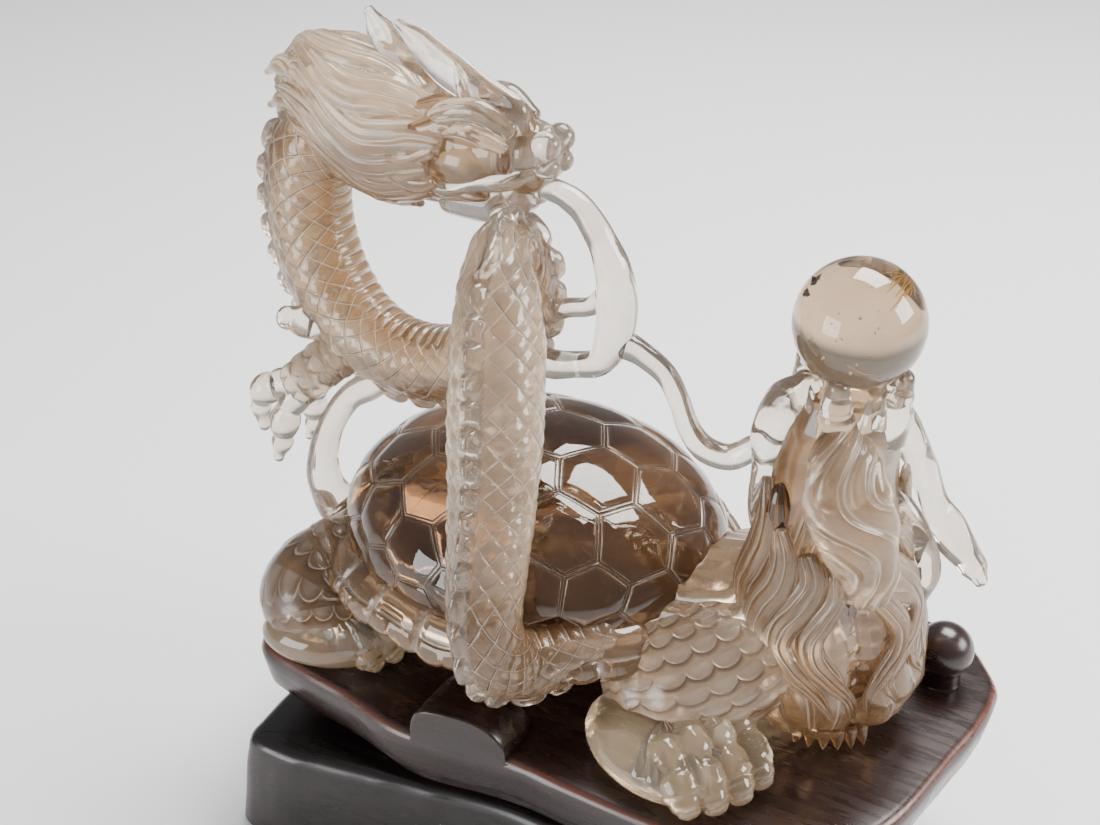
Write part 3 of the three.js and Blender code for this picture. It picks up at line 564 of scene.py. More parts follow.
def lock(path, thick, broad, outward, rings=30, sides=16, finish=HAIR, taper=(0.5, 0.25)):
    """A ribbon of hair along a path: its thickness swells as a sine from a share at its start to a
    share at its end, and it is cut with two lines that run its whole length."""
    share = np.linspace(0, 1, len(path))
    full = np.sin(np.pi * (0.5 + (share - 0.4) * 0.8)) ** 0.8
    full = np.clip(full, np.where(share < 0.5, taper[0], taper[1]), 1.0)
    stations = [(*place, thick * f, broad * f) for place, f in zip(path, full)]

    def phase(angle):
        return np.sin(angle) * 1.4 + 0.5

    def lines(along, angle, length):
        outer = smooth(np.cos(angle) * 3)
        return -0.25 * groove(phase(angle), 0.14) * outer, np.zeros_like(along)

    def hair_marks(along, angle, length):
        return phase(angle), along * length / HAIR_RUN

    return bar(
        stations, rings, sides, finish, tips=(0.3, 1.2), backs=outward, relief=lines, marks=hair_marks
    )


def around_chest(turn, height, out=0.0):
    """A place on the chest's skin: turn is the angle from the way it faces, height the distance
    above the tray, and out how far it stands off the skin."""
    heights = np.array([s[2] for s in CHEST], float)
    middle = [np.interp(height, heights, [s[k] for s in CHEST]) for k in (0, 1)]
    high = np.interp(height, heights, [s[3] for s in CHEST]) + out
    wide = np.interp(height, heights, [s[4] for s in CHEST]) + out
    side = np.array([-FACING[1], FACING[0]])
    ahead = FACING[:2] / np.hypot(*FACING[:2])
    spot = np.array(middle) + ahead * np.cos(turn) * high + side * np.sin(turn) * wide
    return np.array([spot[0], spot[1], height])


def beard():
    """The broad smooth tongue of beard below the chin with its double cut lines, and locks that
    fall from it in waves and spread to both sides of the chest."""
    tongue = [
        (70.5, -7.5, 76, 2.8, 4.6), (72.4, -11, 71, 4.0, 7.4), (74.3, -13, 64, 4.8, 8.6),
        (77.3, -12.6, 57, 4.4, 8), (79.5, -10.8, 49, 3.8, 6), (80.5, -9.5, 42, 2.4, 4),
    ]

    def phase(along, angle):
        return np.sin(angle) * 1.35 + 0.8 * np.sin(along * 7.5 - 0.6)

    def flutes(along, angle, length):
        outer = smooth(np.cos(angle) * 3)
        ridge = np.abs(np.cos(np.pi * phase(along, angle)))
        return (0.6 * ridge - 0.3) * outer, np.zeros_like(along)

    def flute_marks(along, angle, length):
        return phase(along, angle) + 0.5, along * length / HAIR_RUN

    forms = [bar(tongue, 60, 56, HAIR, backs=[FACING] * len(tongue), relief=flutes, marks=flute_marks)]
    falls = (
        (-1.6, -1.3, 62, 22, 0.2, 3.4), (-1.15, -0.95, 54, 15, 0.22, 3.8), (-0.8, -0.6, 50, 12, 0.25, 3.6),
        (-0.45, -0.3, 46, 11, 0.2, 2.8), (0.3, 0.22, 46, 11, -0.2, 2.8), (0.55, 0.55, 50, 13, -0.28, 3.8),
        (0.85, 0.9, 54, 16, -0.25, 3.8), (1.2, 1.3, 62, 24, -0.22, 3.4), (0.1, 0.5, 50, 28, 0.34, 4.0),
    )
    sideways = np.array([-FACING[1], FACING[0], 0.0])
    for k, (start, end, top, low, sway, broad) in enumerate(falls):
        share = np.linspace(0, 1, 8)
        turns = start + (end - start) * share + sway * np.sin(share * 2.2 * np.pi + 0.4 * k)
        heights = top + (low - top) * share
        path = [around_chest(t, h, 1.4 - 1.5 * s) for t, h, s in zip(turns, heights, share)]
        ways = [FACING * np.cos(t) + sideways * np.sin(t) for t in turns]
        forms.append(lock(path, 1.8, broad, ways))
    forms.append(ball(around_chest(-1.25, 54, -0.8), (3.0, 3.0, 8.5), SMOKY, 20, 16))
    return forms


def jaws():
    """Four curled lips hold the pearl, with pointed teeth between them."""
    def about(angle, reach, drop):
        return PEARL_SEAT + [np.cos(angle) * reach, np.sin(angle) * reach, drop]

    def curl(along, angle, length):
        return -0.5 * bell(along, 0.62, 0.06), bell(along, 0.62, 0.04)

    forms = []
    for k in range(4):
        angle = FACING_TURN + np.pi / 4 + k * np.pi / 2
        stations = [
            (*about(angle, 7.6, -10), 3.6), (*about(angle, 8.4, -3), 3.6),
            (*about(angle, 9.2, 3.4), 2.2)
        ]
        forms.append(bar(stations, 22, 24, CLEAR, tips=(0.4, 0.8), relief=curl))
        for shift in (0.62, 0.95):
            forms.append(spike(about(angle + shift, 8.6, -5), about(angle + shift, 9.6, 1.6), 1.5, CLEAR))
    return forms


def ears():
    """The long clear horn swept down behind the head, the ear below it and the cheek that faces
    the shell."""
    def twisted(along, angle, length):
        ridge, line = strands(angle / (2 * np.pi) * 5 + along * 2)
        return 0.35 * ridge, line * 0.6

    return [
        bar([(72, 9, 76, 3), (76, 12, 68, 3.4), (80, 14, 60, 2.8), (83, 15, 52, 2.6), (87, 15, 46, 3.8, 2.2),
             (93, 15, 39, 2.6, 1.6), (95, 15, 36, 1.2)], 60, 26, CLEAR, tips=(0.4, 0.8), relief=twisted),
        bar([(76, 6.5, 58, 2.4), (82.5, 7.5, 48, 3), (85.5, 8, 40, 3), (84.5, 8, 32, 2)], 30, 20, CLEAR),
        bar([(62, -5, 82, 2.6), (58, -5, 76, 4.4), (56, -4, 69, 4.4), (55, -5, 61, 2.6), (56, -6, 52, 3),
             (58, -5, 44, 3)], 48, 30, CLEAR, tips=(0.8, 0.4), relief=twisted),
    ]


# Serpent dragon
SERPENT = [
    (-28.5, -6, 112.7, 7), (-40.7, -6, 114.5, 8.6), (-48, -7, 107.4, 8.8), (-50, -7.5, 98.4, 8.8),
    (-49, -8, 88.7, 8.8), (-45.3, -8.5, 79.1, 8.8), (-37.7, -9, 70.3, 8.7), (-27.5, -9, 66.3, 8.3),
    (-16.4, -9, 67.3, 8), (-6.1, -9.5, 72.3, 8), (0.8, -10, 82.1, 7.6), (3.4, -11.5, 92.8, 6.6),
    (3.5, -14.5, 99.4, 5.8), (4.6, -20, 100.6, 6.2), (6.8, -24.5, 94.2, 8), (8.6, -28, 85.5, 9.2),
    (11.3, -33.5, 71.5, 9.2), (13.2, -38.5, 57.2, 8.5), (14.8, -43, 47.5, 7.9), (16.1, -46.5, 38, 7.4),
    (16.7, -45, 28.8, 7.2), (18.8, -38, 21.6, 7), (24.7, -31, 21.6, 6.2), (30.6, -24, 23.6, 5.5),
]
SERPENT_BACKS = [
    (0, 0, 1), (-0.5, -0.2, 1), (-0.9, -0.45, 0.3), (-0.92, -0.42, 0), (-0.92, -0.4, -0.2),
    (-0.75, -0.35, -0.6), (-0.4, -0.25, -0.9), (0, -0.2, -1), (0.3, -0.1, -1), (0.8, 0.2, -0.6),
    (0.9, 0.4, -0.2), (0.8, 0.6, 0), (0.3, 0.6, 0.8), (0, 0, 1), (0, -0.8, 0.5), (0.03, -1, 0.3),
    (0.03, -1, 0.2), (0.03, -1, 0.1), (0, -1, 0), (-0.1, -1, -0.1), (-0.1, -0.8, -0.5), (0, -0.4, -1),
    (0.1, -0.2, -1), (0.1, 0, -1),
]
SERPENT_SCALE = (5.2, 10)
CREST_PITCH = 5.2
CREST_HEIGHT = 2.8
BELLY_PLATE = 3.4


def serpent_body():
    """A long bar in a net of rhombic scales, with cross plates along the belly and a crest of
    rounded teeth: a narrow ridge along the back whose height follows the size of a sine."""
    pitch, scales = SERPENT_SCALE

    def net_marks(along, angle, length):
        run, turn = along * length / pitch, angle / (2 * np.pi) * scales
        return run + turn, run - turn

    def belly_marks(along, angle, length):
        return along * length / BELLY_PLATE, np.full_like(along, 0.5)

    def skin(along, angle, length):
        run = along * length
        turn = wrapped(angle)
        relief = pillows(run / pitch, turn / (2 * np.pi) * scales)
        under = smooth((np.abs(turn) - 2.3) / 0.2)
        plates = groove(run / BELLY_PLATE, 0.16)
        share = run / CREST_PITCH
        tooth = 0.25 + 0.75 * np.abs(np.sin(np.pi * (share + 0.12 * np.sin(2 * np.pi * share)))) ** 0.9
        ridge = bell(turn, 0.0, 0.2)
        flank = smooth((np.abs(turn) - 0.25) / 0.15)
        scales_cut = (0.4 * relief - 0.15) * (1 - under) * flank
        plates_cut = 0.35 * plates * under
        return scales_cut - plates_cut + CREST_HEIGHT * tooth * ridge, np.zeros_like(along)

    sides = 54
    spread = np.linspace(-1, 1, sides, endpoint=False)
    turns = np.sign(spread) * np.abs(spread) ** 1.3 * np.pi
    parts = [
        (lambda along, angle: np.abs(wrapped(angle)) > 2.35, HAIR, belly_marks),
        (lambda along, angle: np.abs(wrapped(angle)) < 0.26, CLEAR, None),
    ]
    return bar(SERPENT, 386, sides, SCALED, backs=SERPENT_BACKS, relief=skin, turns=turns, marks=net_marks,
               other=parts)


HEAD_MIDDLE = -6.0
HORN_BACK = (0.5, 0.34, 0.79)


def blade(along, angle, length):
    """A horn's flat sides: a shallow hollow down each side and a sharp upper edge."""
    flat = np.abs(np.sin(angle)) ** 4
    return -0.35 * flat + 0.3 * bell(wrapped(angle), 0, 0.25), np.zeros_like(along)


def serpent_head():
    """Skull and face in one bar, locks of mane swept back from the face over it, then jaw, lips,
    nostrils, eyes, brows, cheeks and horns. Every place on the skull is its middle line plus a
    sine and a cosine of a turn times the skull's half width and half height there."""
    skull = [
        (-55.5, -6, 121.5, 4, 3), (-48, -6, 120.5, 11, 7.4), (-40, -6, 118.5, 13.2, 9.4),
        (-30, -6, 115.5, 12.8, 9.8), (-20, -6, 114, 11.4, 9.8), (-10, -6, 114.5, 11, 9.8),
        (-2, -6, 116.5, 8.6, 8.5), (3.5, -6, 116.5, 6.2, 6.5), (8, -6, 117, 5, 5.5),
    ]

    def phase(along, angle):
        return angle / (2 * np.pi) * 14 + 0.7 * np.sin(along * 9 + 0.5)

    def skin(along, angle, length):
        fade = smooth((0.68 - along) / 0.12)
        ridge = np.abs(np.cos(np.pi * phase(along, angle)))
        lips = bell(wrapped(angle), 2.05, 0.08) + bell(wrapped(angle), -2.05, 0.08)
        mouth = lips * smooth((along - 0.74) / 0.06)
        snout = 0.5 * bell(along, 0.84, 0.03) * smooth(np.cos(angle) * 2)
        return (0.5 * ridge - 0.2) * fade - 1.1 * mouth - snout, np.zeros_like(along)

    def hair_marks(along, angle, length):
        return phase(along, angle) + 0.5, along * length / HAIR_RUN

    forms = [
        bar(
            skull, 80, 72, HAIR, tips=(0.3, 0.4), relief=skin, marks=hair_marks,
            other=[
                (lambda along, angle: along > 0.64, EDGE, None),
                (lambda along, angle: along > 0.86, CLEAR, None)
            ]
        ),
        bar(
            [
                (-14, -6, 105, 4.5, 6), (-6, -6, 105, 4.6, 6), (1, -6, 106.5, 3.4, 5),
                (5.5, -6, 108.5, 2, 3)
            ],
            26, 30, CLEAR
        ),
    ]
    low_x = skull[0][0]
    widths = np.array([(s[0], s[2], s[3], s[4]) for s in skull])

    def on_skull(x, turn, out):
        z, high, wide = (np.interp(x, widths[:, 0], widths[:, k]) for k in (1, 2, 3))
        return np.array([x, HEAD_MIDDLE + np.sin(turn) * (wide + out), z + np.cos(turn) * (high + out)])

    sweeps = (
        (-0.35, -0.05, -20, 4.2), (-0.85, -0.55, -15, 4.8), (-1.3, -1.1, -11, 4.6), (-1.75, -1.65, -14, 4.6),
        (-2.2, -2.25, -15, 4.2), (-2.65, -2.75, -20, 4.0), (0.4, 0.5, -20, 4.2), (1.0, 0.95, -16, 4.8),
        (1.6, 1.5, -14, 4.6), (2.2, 2.2, -18, 4.2),
    )
    for k, (start, end, front, broad) in enumerate(sweeps):
        share = np.linspace(0, 1, 8)
        turns = start + (end - start) * share + 0.17 * np.sin(share * 2.5 * np.pi + 0.5 * k)
        x = front + (low_x + 1.5 + (k % 3) - front) * share
        path = [on_skull(a, t, 0.9 - 0.4 * s) for a, t, s in zip(x, turns, share)]
        ways = [(0.0, np.sin(t), np.cos(t)) for t in turns]
        forms.append(lock(path, 1.9, broad, ways, 38, 16, HAIR, (0.3, 0.25)))
    cheek_locks = ((-0.6, -6), (-1.0, -9), (-1.45, -12), (-1.9, -12), (0.8, -8), (1.4, -12))
    for k, (start, front) in enumerate(cheek_locks):
        share = np.linspace(0, 1, 7)
        turns = start + 0.12 * np.sin(share * 2.2 * np.pi + k)
        path = [on_skull(front - 20 * s, t, 1.0 - 0.3 * s) for s, t in zip(share, turns)]
        ways = [(0.0, np.sin(t), np.cos(t)) for t in turns]
        forms.append(lock(path, 1.5, 2.2, ways, 26, 12, EDGE, (0.3, 0.2)))
    for side in (-1, 1):
        out = 1.0 if side < 0 else 0.5

        def at(x, off, z):
            return (x, HEAD_MIDDLE + side * off * out, z)

        forms += [
            ball(at(8.6, 3.6, 119.6), (2.9, 2.6, 2.8), CLEAR, 24, 16),
            ball(at(8.8, 3.4, 115.2), (2.5, 2.4, 2.3), CLEAR, 22, 14),
            ball(at(1.4, 5.0, 121.8), (1.7, 1.6, 1.6), SMOKY, 20, 14),
            ball(at(1.2, 6.9, 116.6), (1.5, 1.3, 3.0), SMOKY, 20, 14),
            ball(at(-6.0, 7.2, 108.6), (4.2, 2.2, 1.5), SMOKY, 24, 14),
            bar(
                [
                    (*at(-11, 8.4, 120.2), 1.0), (*at(-6, 8.8, 121.2), 1.5), (*at(-2, 7.9, 119.8), 1.5),
                    (*at(1.5, 6.8, 118.4), 1.1)
                ],
                30, 20, CLEAR
            ),
            bar(
                [
                    (*at(-16, 6.4, 121), 1.6), (*at(-10, 7.6, 124), 2.6), (*at(-4, 7.2, 125), 2.6),
                    (*at(2, 5.4, 122), 2.0)
                ],
                34, 24, CLEAR
            ),
            bar(
                [
                    (*at(6.5, 4.5, 114), 1.5), (*at(1, 6.6, 111.8), 1.7), (*at(-5, 7.8, 110.8), 1.7),
                    (*at(-11, 9, 109), 1.5), (*at(-15, 9.4, 111.5), 1.0)
                ],
                36, 18, CLEAR, tips=(0.4, 1)
            ),
        ]
        for k in range(3 if side < 0 else 2):
            high = 126 - k * 7
            forms.append(bar([
                (*at(-42, 6, high - 2), 2.6), (*at(-51, 4.5, high), 2.4), (*at(-58, 2, high - 3), 0.8),
            ], 24, 16, SMOOTH, tips=(0.2, 1.0)))
    forms += [
        ball((-7.2, -11.5, 114.0), (7.6, 4.7, 5.6), SMOOTH, 36, 24, 0.25),
        ball((3.6, -9.4, 112.4), (4.4, 3.2, 3.2), SMOOTH, 28, 20),
        bar(
            [
                (-12, -7.4, 122.6, 3.6), (-5, -8, 123.8, 3.9), (0.8, -8.2, 123, 3.5),
                (3.6, -7.8, 120, 2.6)
            ],
            36, 30, EDGE
        ),
        spike((-7, -12, 125.5), (-9.5, -12, 133.5), 2.2, CLEAR, 14, 10),
        bar(
            [
                (3.4, -9.4, 121.6, 1.4, 1.6), (2.1, -10, 125.2, 2.2, 1.8),
                (-3.7, -10.8, 127.6, 3.0, 1.9), (-11.3, -11.2, 131.2, 3.4, 1.6),
                (-17.9, -11, 135, 2.7, 1.2), (-22.9, -11, 138.2, 1.0, 0.7)
            ],
            48, 24, CLEAR, tips=(0.4, 1), backs=[HORN_BACK] * 6, relief=blade
        ),
        bar(
            [
                (-10, -7, 121, 2.0, 2.2), (-14.5, -7, 122.6, 3.0, 2.2), (-20.8, -6.6, 125.4, 3.6, 2.0),
                (-27, -6, 129.8, 3.6, 1.6), (-31, -5.5, 134.4, 2.7, 1.2), (-33.6, -5.5, 138.2, 1.0, 0.7)
            ],
            48, 24, CLEAR, tips=(0.4, 1), backs=[HORN_BACK] * 6, relief=blade
        ),
    ]
    return forms


def water():
    """The stream from the serpent's mouth, its branch, the tube on to the turtle's head, the peg
    under the chin and the prop down to the rim: smooth clear bars that swell a little."""
    def flowing(along, angle, length):
        return 0.16 * np.sin(along * length / 4.7 + np.sin(angle)), np.zeros_like(along)

    return [
        bar(
            [
                (1, -7, 108, 2), (4.6, -7, 109.6, 2), (9.8, -8, 110.4, 2.2), (15.3, -8.5, 108.6, 2.6),
                (19.9, -9, 103.5, 3), (22.8, -9, 97.2, 3.6), (23.8, -9, 91.2, 4), (23.4, -9, 83.6, 3.8),
                (20.4, -9, 77.2, 3), (14.8, -9, 75, 2.8), (8.9, -9.5, 74, 3), (3, -9.5, 76, 3)
            ],
            90, 24, CLEAR, relief=flowing
        ),
        bar(
            [
                (22.5, -9, 92.4, 2.6), (18, -9, 88.6, 1.9), (13.4, -9.5, 87.4, 2),
                (8.3, -10, 85.4, 2.6), (3, -10, 85, 3)
            ],
            30, 20, CLEAR
        ),
        bar(
            [
                (22, -9, 82, 2.8), (25.8, -9, 82.2, 2.7), (29.9, -8.5, 80.7, 2.3),
                (34.5, -8, 77.5, 2.2), (36.8, -7, 72.4, 2.3), (38.6, -5, 64.9, 2.4),
                (41.4, -3, 60.1, 2.6), (45.8, -1, 58.7, 2.6), (50, 0, 61.6, 2.6), (56, 0, 66, 3)
            ],
            80, 24, CLEAR, relief=flowing
        ),
        bar([(-4.5, -8, 107, 2.6), (-0.5, -12, 105.8, 2.2), (3.2, -16.5, 104.2, 2.6)], 16, 20, CLEAR),
        bar(
            [
                (-30, -11, 62, 3.6), (-33.7, -12, 58.6, 3.2), (-39.6, -12.5, 54, 2.9),
                (-44.5, -13, 46.7, 3.1), (-47.4, -13.5, 38.3, 3.4), (-47.9, -13.5, 30.6, 3.9),
                (-45.1, -13, 24.4, 5), (-42, -12, 20, 5)
            ],
            60, 24, CLEAR, relief=flowing
        ),
    ]


def arm():
    """The scaled arm below the serpent's neck and its claws, each with two joints."""
    def scale_marks(along, angle, length):
        return along * length / 3.6, angle / (2 * np.pi) * 8

    def scaled(along, angle, length):
        height, _ = shingles(*scale_marks(along, angle, length))
        return 0.45 * height - 0.2, np.zeros_like(along)

    def jointed(along, angle, length):
        waists = bell(along, 0.32, 0.04) + bell(along, 0.68, 0.04)
        return 0.5 * bell(along, 0.5, 0.1) - 0.5 * waists, np.zeros_like(along)

    talons = [
        [(-49, -18, 57.5, 3.8), (-55.5, -20, 56, 3.4), (-58.2, -20.5, 51.5, 2.6), (-58, -20.5, 45.5, 1.3)],
        [(-48, -18, 57, 3.8), (-51, -20.5, 51, 3.2), (-52.5, -21, 44, 2.6), (-54.3, -21, 38.6, 1.2)],
        [(-47, -15, 57, 3.4), (-49.5, -13, 51, 2.8), (-51, -12, 44, 2), (-52.5, -12, 40, 1)],
    ]
    return [
        bar(
            [(-36, -11, 70, 6), (-41, -13, 65, 5.4), (-45, -16, 61.4, 5.2), (-49, -18, 57.4, 5)], 34,
            40, SHINGLED, relief=scaled, marks=scale_marks
        ),
        bar(
            [(-42, -13, 70, 3), (-47.5, -16, 72, 3.6), (-51, -18, 73, 2.6)], 22, 24, CLEAR,
            tips=(0.4, 0.8)
        ),
    ] + [bar(stations, 30, 22, CLEAR, tips=(0.3, 1), relief=jointed) for stations in talons]


def tail():
    """The short curled tail between the rear legs."""
    def scale_marks(along, angle, length):
        return along * length / 4, angle / (2 * np.pi) * 9

    def scaled(along, angle, length):
        height, _ = shingles(*scale_marks(along, angle, length))
        return 0.5 * height - 0.2, np.zeros_like(along)

    return bar(
        [(-42, 2, 18, 8, 9), (-50, 4, 13, 5.5, 7), (-55, 9, 10, 3.6, 4.6), (-56, 15, 9.5, 1.6, 2)], 34,
        40, SHINGLED, tips=(0.3, 0.8), relief=scaled, marks=scale_marks
    )


def crystal_forms():
    """Every form of the one quartz block."""
    forms = [
        scuted_dome(), marginal_rim(), ball(SHELL_CORE["centre"], SHELL_CORE["sizes"], SMOKY, 64, 32),
        *leg(FRONT_LEG, 1.0), *leg(REAR_LEG, 0.8), *leg(far_leg(FRONT_LEG), 0.6),
        *leg(far_leg(REAR_LEG), 0.6), tail(), *chest(), *chest_fringe(), *beard(), *jaws(), *ears(),
        ball(PEARL_SEAT + [0, 0, PEARL_RADIUS], (PEARL_RADIUS,) * 3, PEARL, 56, 34), serpent_body(),
        *serpent_head(), *arm(), *water(),
    ]
    return forms


# Meshes
def mesh_from(name, form, finishes):
    """A mesh in metres from a form: the finish is its slot, its cut lines an attribute and its
    pattern marks a map."""
    mesh = bpy.data.meshes.new(name)
    quads, tris = form.quads, form.tris
    corners = np.concatenate([quads.ravel(), tris.ravel()]).astype(np.int32)
    totals = np.concatenate([np.full(len(quads), 4), np.full(len(tris), 3)]).astype(np.int32)
    mesh.vertices.add(len(form.points))
    mesh.vertices.foreach_set("co", in_metres(form.points).astype(np.float32).ravel())
    mesh.loops.add(len(corners))
    mesh.loops.foreach_set("vertex_index", corners)
    mesh.polygons.add(len(totals))
    mesh.polygons.foreach_set("loop_start", np.concatenate([[0], np.cumsum(totals)[:-1]]).astype(np.int32))
    mesh.polygons.foreach_set("loop_total", totals)
    for finish in finishes:
        mesh.materials.append(finish)
    mesh.polygons.foreach_set("material_index", form.finish.astype(np.int32))
    line = mesh.attributes.new("line", "FLOAT", "POINT")
    line.data.foreach_set("value", form.line.astype(np.float32))
    marks = mesh.uv_layers.new(name="marks")
    places = np.concatenate([part.reshape(-1, 2) for part in form.marks])
    marks.uv.foreach_set("vector", places.astype(np.float32).ravel())
    mesh.update()
    return mesh


def joined(name, forms, finishes, below=None, angle=40.0):
    """One closed mesh from overlapping forms, by a union, and cut flat by a last form below."""
    meshes = [mesh_from(f"{name}_{k}", form, finishes) for k, form in enumerate(forms)]
    pieces = [bpy.data.objects.new(mesh.name, mesh) for mesh in meshes]
    base = pieces[0]
    bpy.context.scene.collection.objects.link(base)
    others = bpy.data.collections.new(f"{name}_forms")
    bpy.context.scene.collection.children.link(others)
    for piece in pieces[1:]:
        others.objects.link(piece)
    union = base.modifiers.new("union", "BOOLEAN")
    union.operation, union.solver = "UNION", "MANIFOLD"
    union.operand_type, union.collection = "COLLECTION", others
    if below is not None:
        cutter = bpy.data.objects.new(f"{name}_below", mesh_from(f"{name}_below", below, finishes))
        bpy.context.scene.collection.objects.link(cutter)
        cut = base.modifiers.new("cut", "BOOLEAN")
        cut.operation, cut.object, cut.solver = "DIFFERENCE", cutter, "MANIFOLD"
        pieces.append(cutter)
    graph = bpy.context.evaluated_depsgraph_get()
    mesh = bpy.data.meshes.new_from_object(base.evaluated_get(graph), depsgraph=graph)
    mesh.name = name
    for piece in pieces:
        old = piece.data
        bpy.data.objects.remove(piece)
        bpy.data.meshes.remove(old)
    bpy.data.collections.remove(others)
    mesh.shade_smooth()
    mesh.set_sharp_from_angle(angle=np.radians(angle))
    return linked(name, mesh)


def linked(name, mesh):
    """A shown object for a finished mesh, at the origin."""
    piece = bpy.data.objects.new(name, mesh)
    bpy.context.scene.collection.objects.link(piece)
    return piece


def slab(low, high):
    """A plain box between two corners, to cut with."""
    (x0, y0, z0), (x1, y1, z1) = low, high
    points = [
        (x0, y0, z0), (x1, y0, z0), (x1, y1, z0), (x0, y1, z0), (x0, y0, z1), (x1, y0, z1),
        (x1, y1, z1), (x0, y1, z1)
    ]
    quads = [(3, 2, 1, 0), (4, 5, 6, 7), (0, 1, 5, 4), (1, 2, 6, 5), (2, 3, 7, 6), (3, 0, 4, 7)]
    return Form(points, quads, np.zeros((0, 3)), SOLE)


# Wooden stand, measured from the middle of the stand and the top of the tray
TRAY_HALF = np.array([78.5, 48.0])
STAND_HEIGHT = 48.0
TRAY_SHAPE = [
    (0.995, 0.61), (1, 0.4), (0.965, 0.02), (0.91, -0.43), (0.8, -0.76), (0.6, -0.93), (0.36, -0.94),
    (0.12, -0.93), (-0.04, -0.92), (-0.36, -0.99), (-0.57, -0.92), (-0.77, -0.87), (-0.91, -0.81),
    (-0.985, -0.55), (-1, -0.1), (-0.98, 0.42), (-0.9, 0.75), (-0.72, 0.9), (-0.28, 0.98), (0.24, 1),
    (0.64, 0.98), (0.84, 0.92), (0.93, 0.78), (0.985, 0.65),
]
PLINTH_SHAPE = [
    (0.88, 0.05), (0.92, -0.25), (0.88, -0.6), (0.74, -0.86), (0.5, -0.9), (0.2, -0.86), (-0.1, -0.84),
    (-0.36, -0.92), (-0.6, -1.0), (-0.82, -1.06), (-0.95, -1.0), (-0.985, -0.7), (-0.98, -0.2), (-0.94, 0.3),
    (-0.82, 0.76), (-0.55, 0.88), (-0.1, 0.86), (0.3, 0.76), (0.6, 0.6), (0.8, 0.35),
]
HILL_PLACE = np.array([-0.18, -1.0]) * TRAY_HALF
KNOB_PLACE = np.array([0.84, 0.54]) * TRAY_HALF
KNOB_RADIUS = 6.25
KNOB_NECK_RADIUS = 4.25


def outline(shares, count):
    """A smooth closed outline through shares of the tray's half length and half width, in steps
    of even length."""
    spots = np.array(shares) * TRAY_HALF
    looped = np.vstack([spots[-3:], spots, spots[:4]])
    stations = [(x, y, 0.0, 1.0) for x, y in looped]
    points, _, at, _ = route(stations, 60 * len(looped))
    whole = (at >= 3) & (at <= 3 + len(spots))
    points, at = points[whole], at[whole]
    even = np.linspace(3, 3 + len(spots), count, endpoint=False)
    return np.stack([np.interp(even, at, points[:, k]) for k in (0, 1)], -1)


def turned_in(border, inset):
    """The outline moved inwards by a distance, along its own normals."""
    way = np.roll(border, -1, axis=0) - np.roll(border, 1, axis=0)
    way /= np.linalg.norm(way, axis=1)[:, None]
    normal = np.stack([-way[:, 1], way[:, 0]], -1)
    area = np.sum(border[:, 0] * np.roll(border[:, 1], -1) - np.roll(border[:, 0], -1) * border[:, 1])
    return border + normal * (np.ones(len(border)) * inset * np.sign(area))[:, None]


def layered(border, levels, wobble=0.0, light_band_rings=(0, 0)):
    """A closed block whose outline is drawn in by an inset at each height, with a flat top and
    bottom in rings towards its middle. wobble is the size of slow waves rubbed into its sides, and
    light_band_rings the first and last ring of a band that is painted a lighter red."""
    rows = []
    count = len(border)
    turn = np.linspace(0, 2 * np.pi, count, endpoint=False)
    centre = border.mean(axis=0)

    def ring(z, inset, share=1.0):
        waves_and_band = wobble * (np.sin(turn * 11 + z * 0.21) + 0.6 * np.sin(turn * 23 + z * 0.37 + 1))
        flat = turned_in(border, inset + np.abs(waves_and_band) * (inset > 0.01))
        rows.append(np.column_stack([centre + (flat - centre) * share, np.full(count, z)]))

    for share in (0.25, 0.5, 0.75, 0.93):
        ring(*levels[0], share)
    for z, inset in levels:
        ring(z, inset)
    for share in (0.9, 0.6, 0.3):
        ring(*levels[-1], share)
    steps = np.arange(len(rows))
    # A band of rings that is painted a lighter red, marked in the line attribute.
    waves_and_band = (steps >= light_band_rings[0]) & (steps < light_band_rings[1])
    line = np.broadcast_to(waves_and_band[:, None], (len(rows), count)).astype(float)
    return tube_skin(
        np.stack(rows), np.append(centre, levels[0][0]), np.append(centre, levels[-1][0]), 0, line
    )


def rounded_levels(top, inset, radius, steps=6):
    """Heights and insets of a quarter-round edge at the top of a block."""
    angle = np.linspace(0, np.pi / 2, steps)
    return [(top - radius * (1 - np.cos(a)), inset + radius * (1 - np.sin(a))) for a in angle]


def hill():
    """The raised hump at the tray's front edge: steep on one side and rounded down on the other.
    Its front is flush with the tray's outline, and it runs inwards from there."""
    steep = [
        (-11, -5), (-11, -2), (-11, 1.5), (-10.7, 3.6), (-10.0, 5.4), (-8.8, 6.7), (-7.2, 7.4),
        (-5.2, 7.65)
    ]
    turn = np.linspace(0, np.pi / 2, 12)
    round_side = [(0.6 + 10.0 * np.sin(t), 7.7 * np.cos(t)) for t in turn]
    profile = np.array([*steep, (-2.4, 7.7), *round_side, (10.6, -2.0), (10.6, -5)])
    border = outline(TRAY_SHAPE, 260)
    front = border[border[:, 1] < -20]
    front = front[np.argsort(front[:, 0])]
    rows = []
    slices = (
        (0.32, 0.9), (0.33, 0.96), (0.5, 0.985), (1.0, 1.0), (4, 1), (8, 1), (12, 1), (14.4, 1.0),
        (15.0, 0.985), (15.3, 0.95), (15.4, 0.88),
    )
    for depth, share in slices:
        flat = profile * share
        x = HILL_PLACE[0] + flat[:, 0]
        flush = np.interp(x, front[:, 0], front[:, 1])
        y = flush + depth + (HILL_PLACE[1] - flush) * smooth(depth / 15.0)
        rows.append(np.column_stack([x, y, flat[:, 1]]))
    rows = np.stack(rows)
    return tube_skin(rows, rows[0].mean(axis=0), rows[-1].mean(axis=0), 0)


def on_stand(forms):
    """Moves forms measured from the stand's middle to the carving's own measure."""
    for form in forms:
        form.points = form.points + STAND_MIDDLE
    return forms


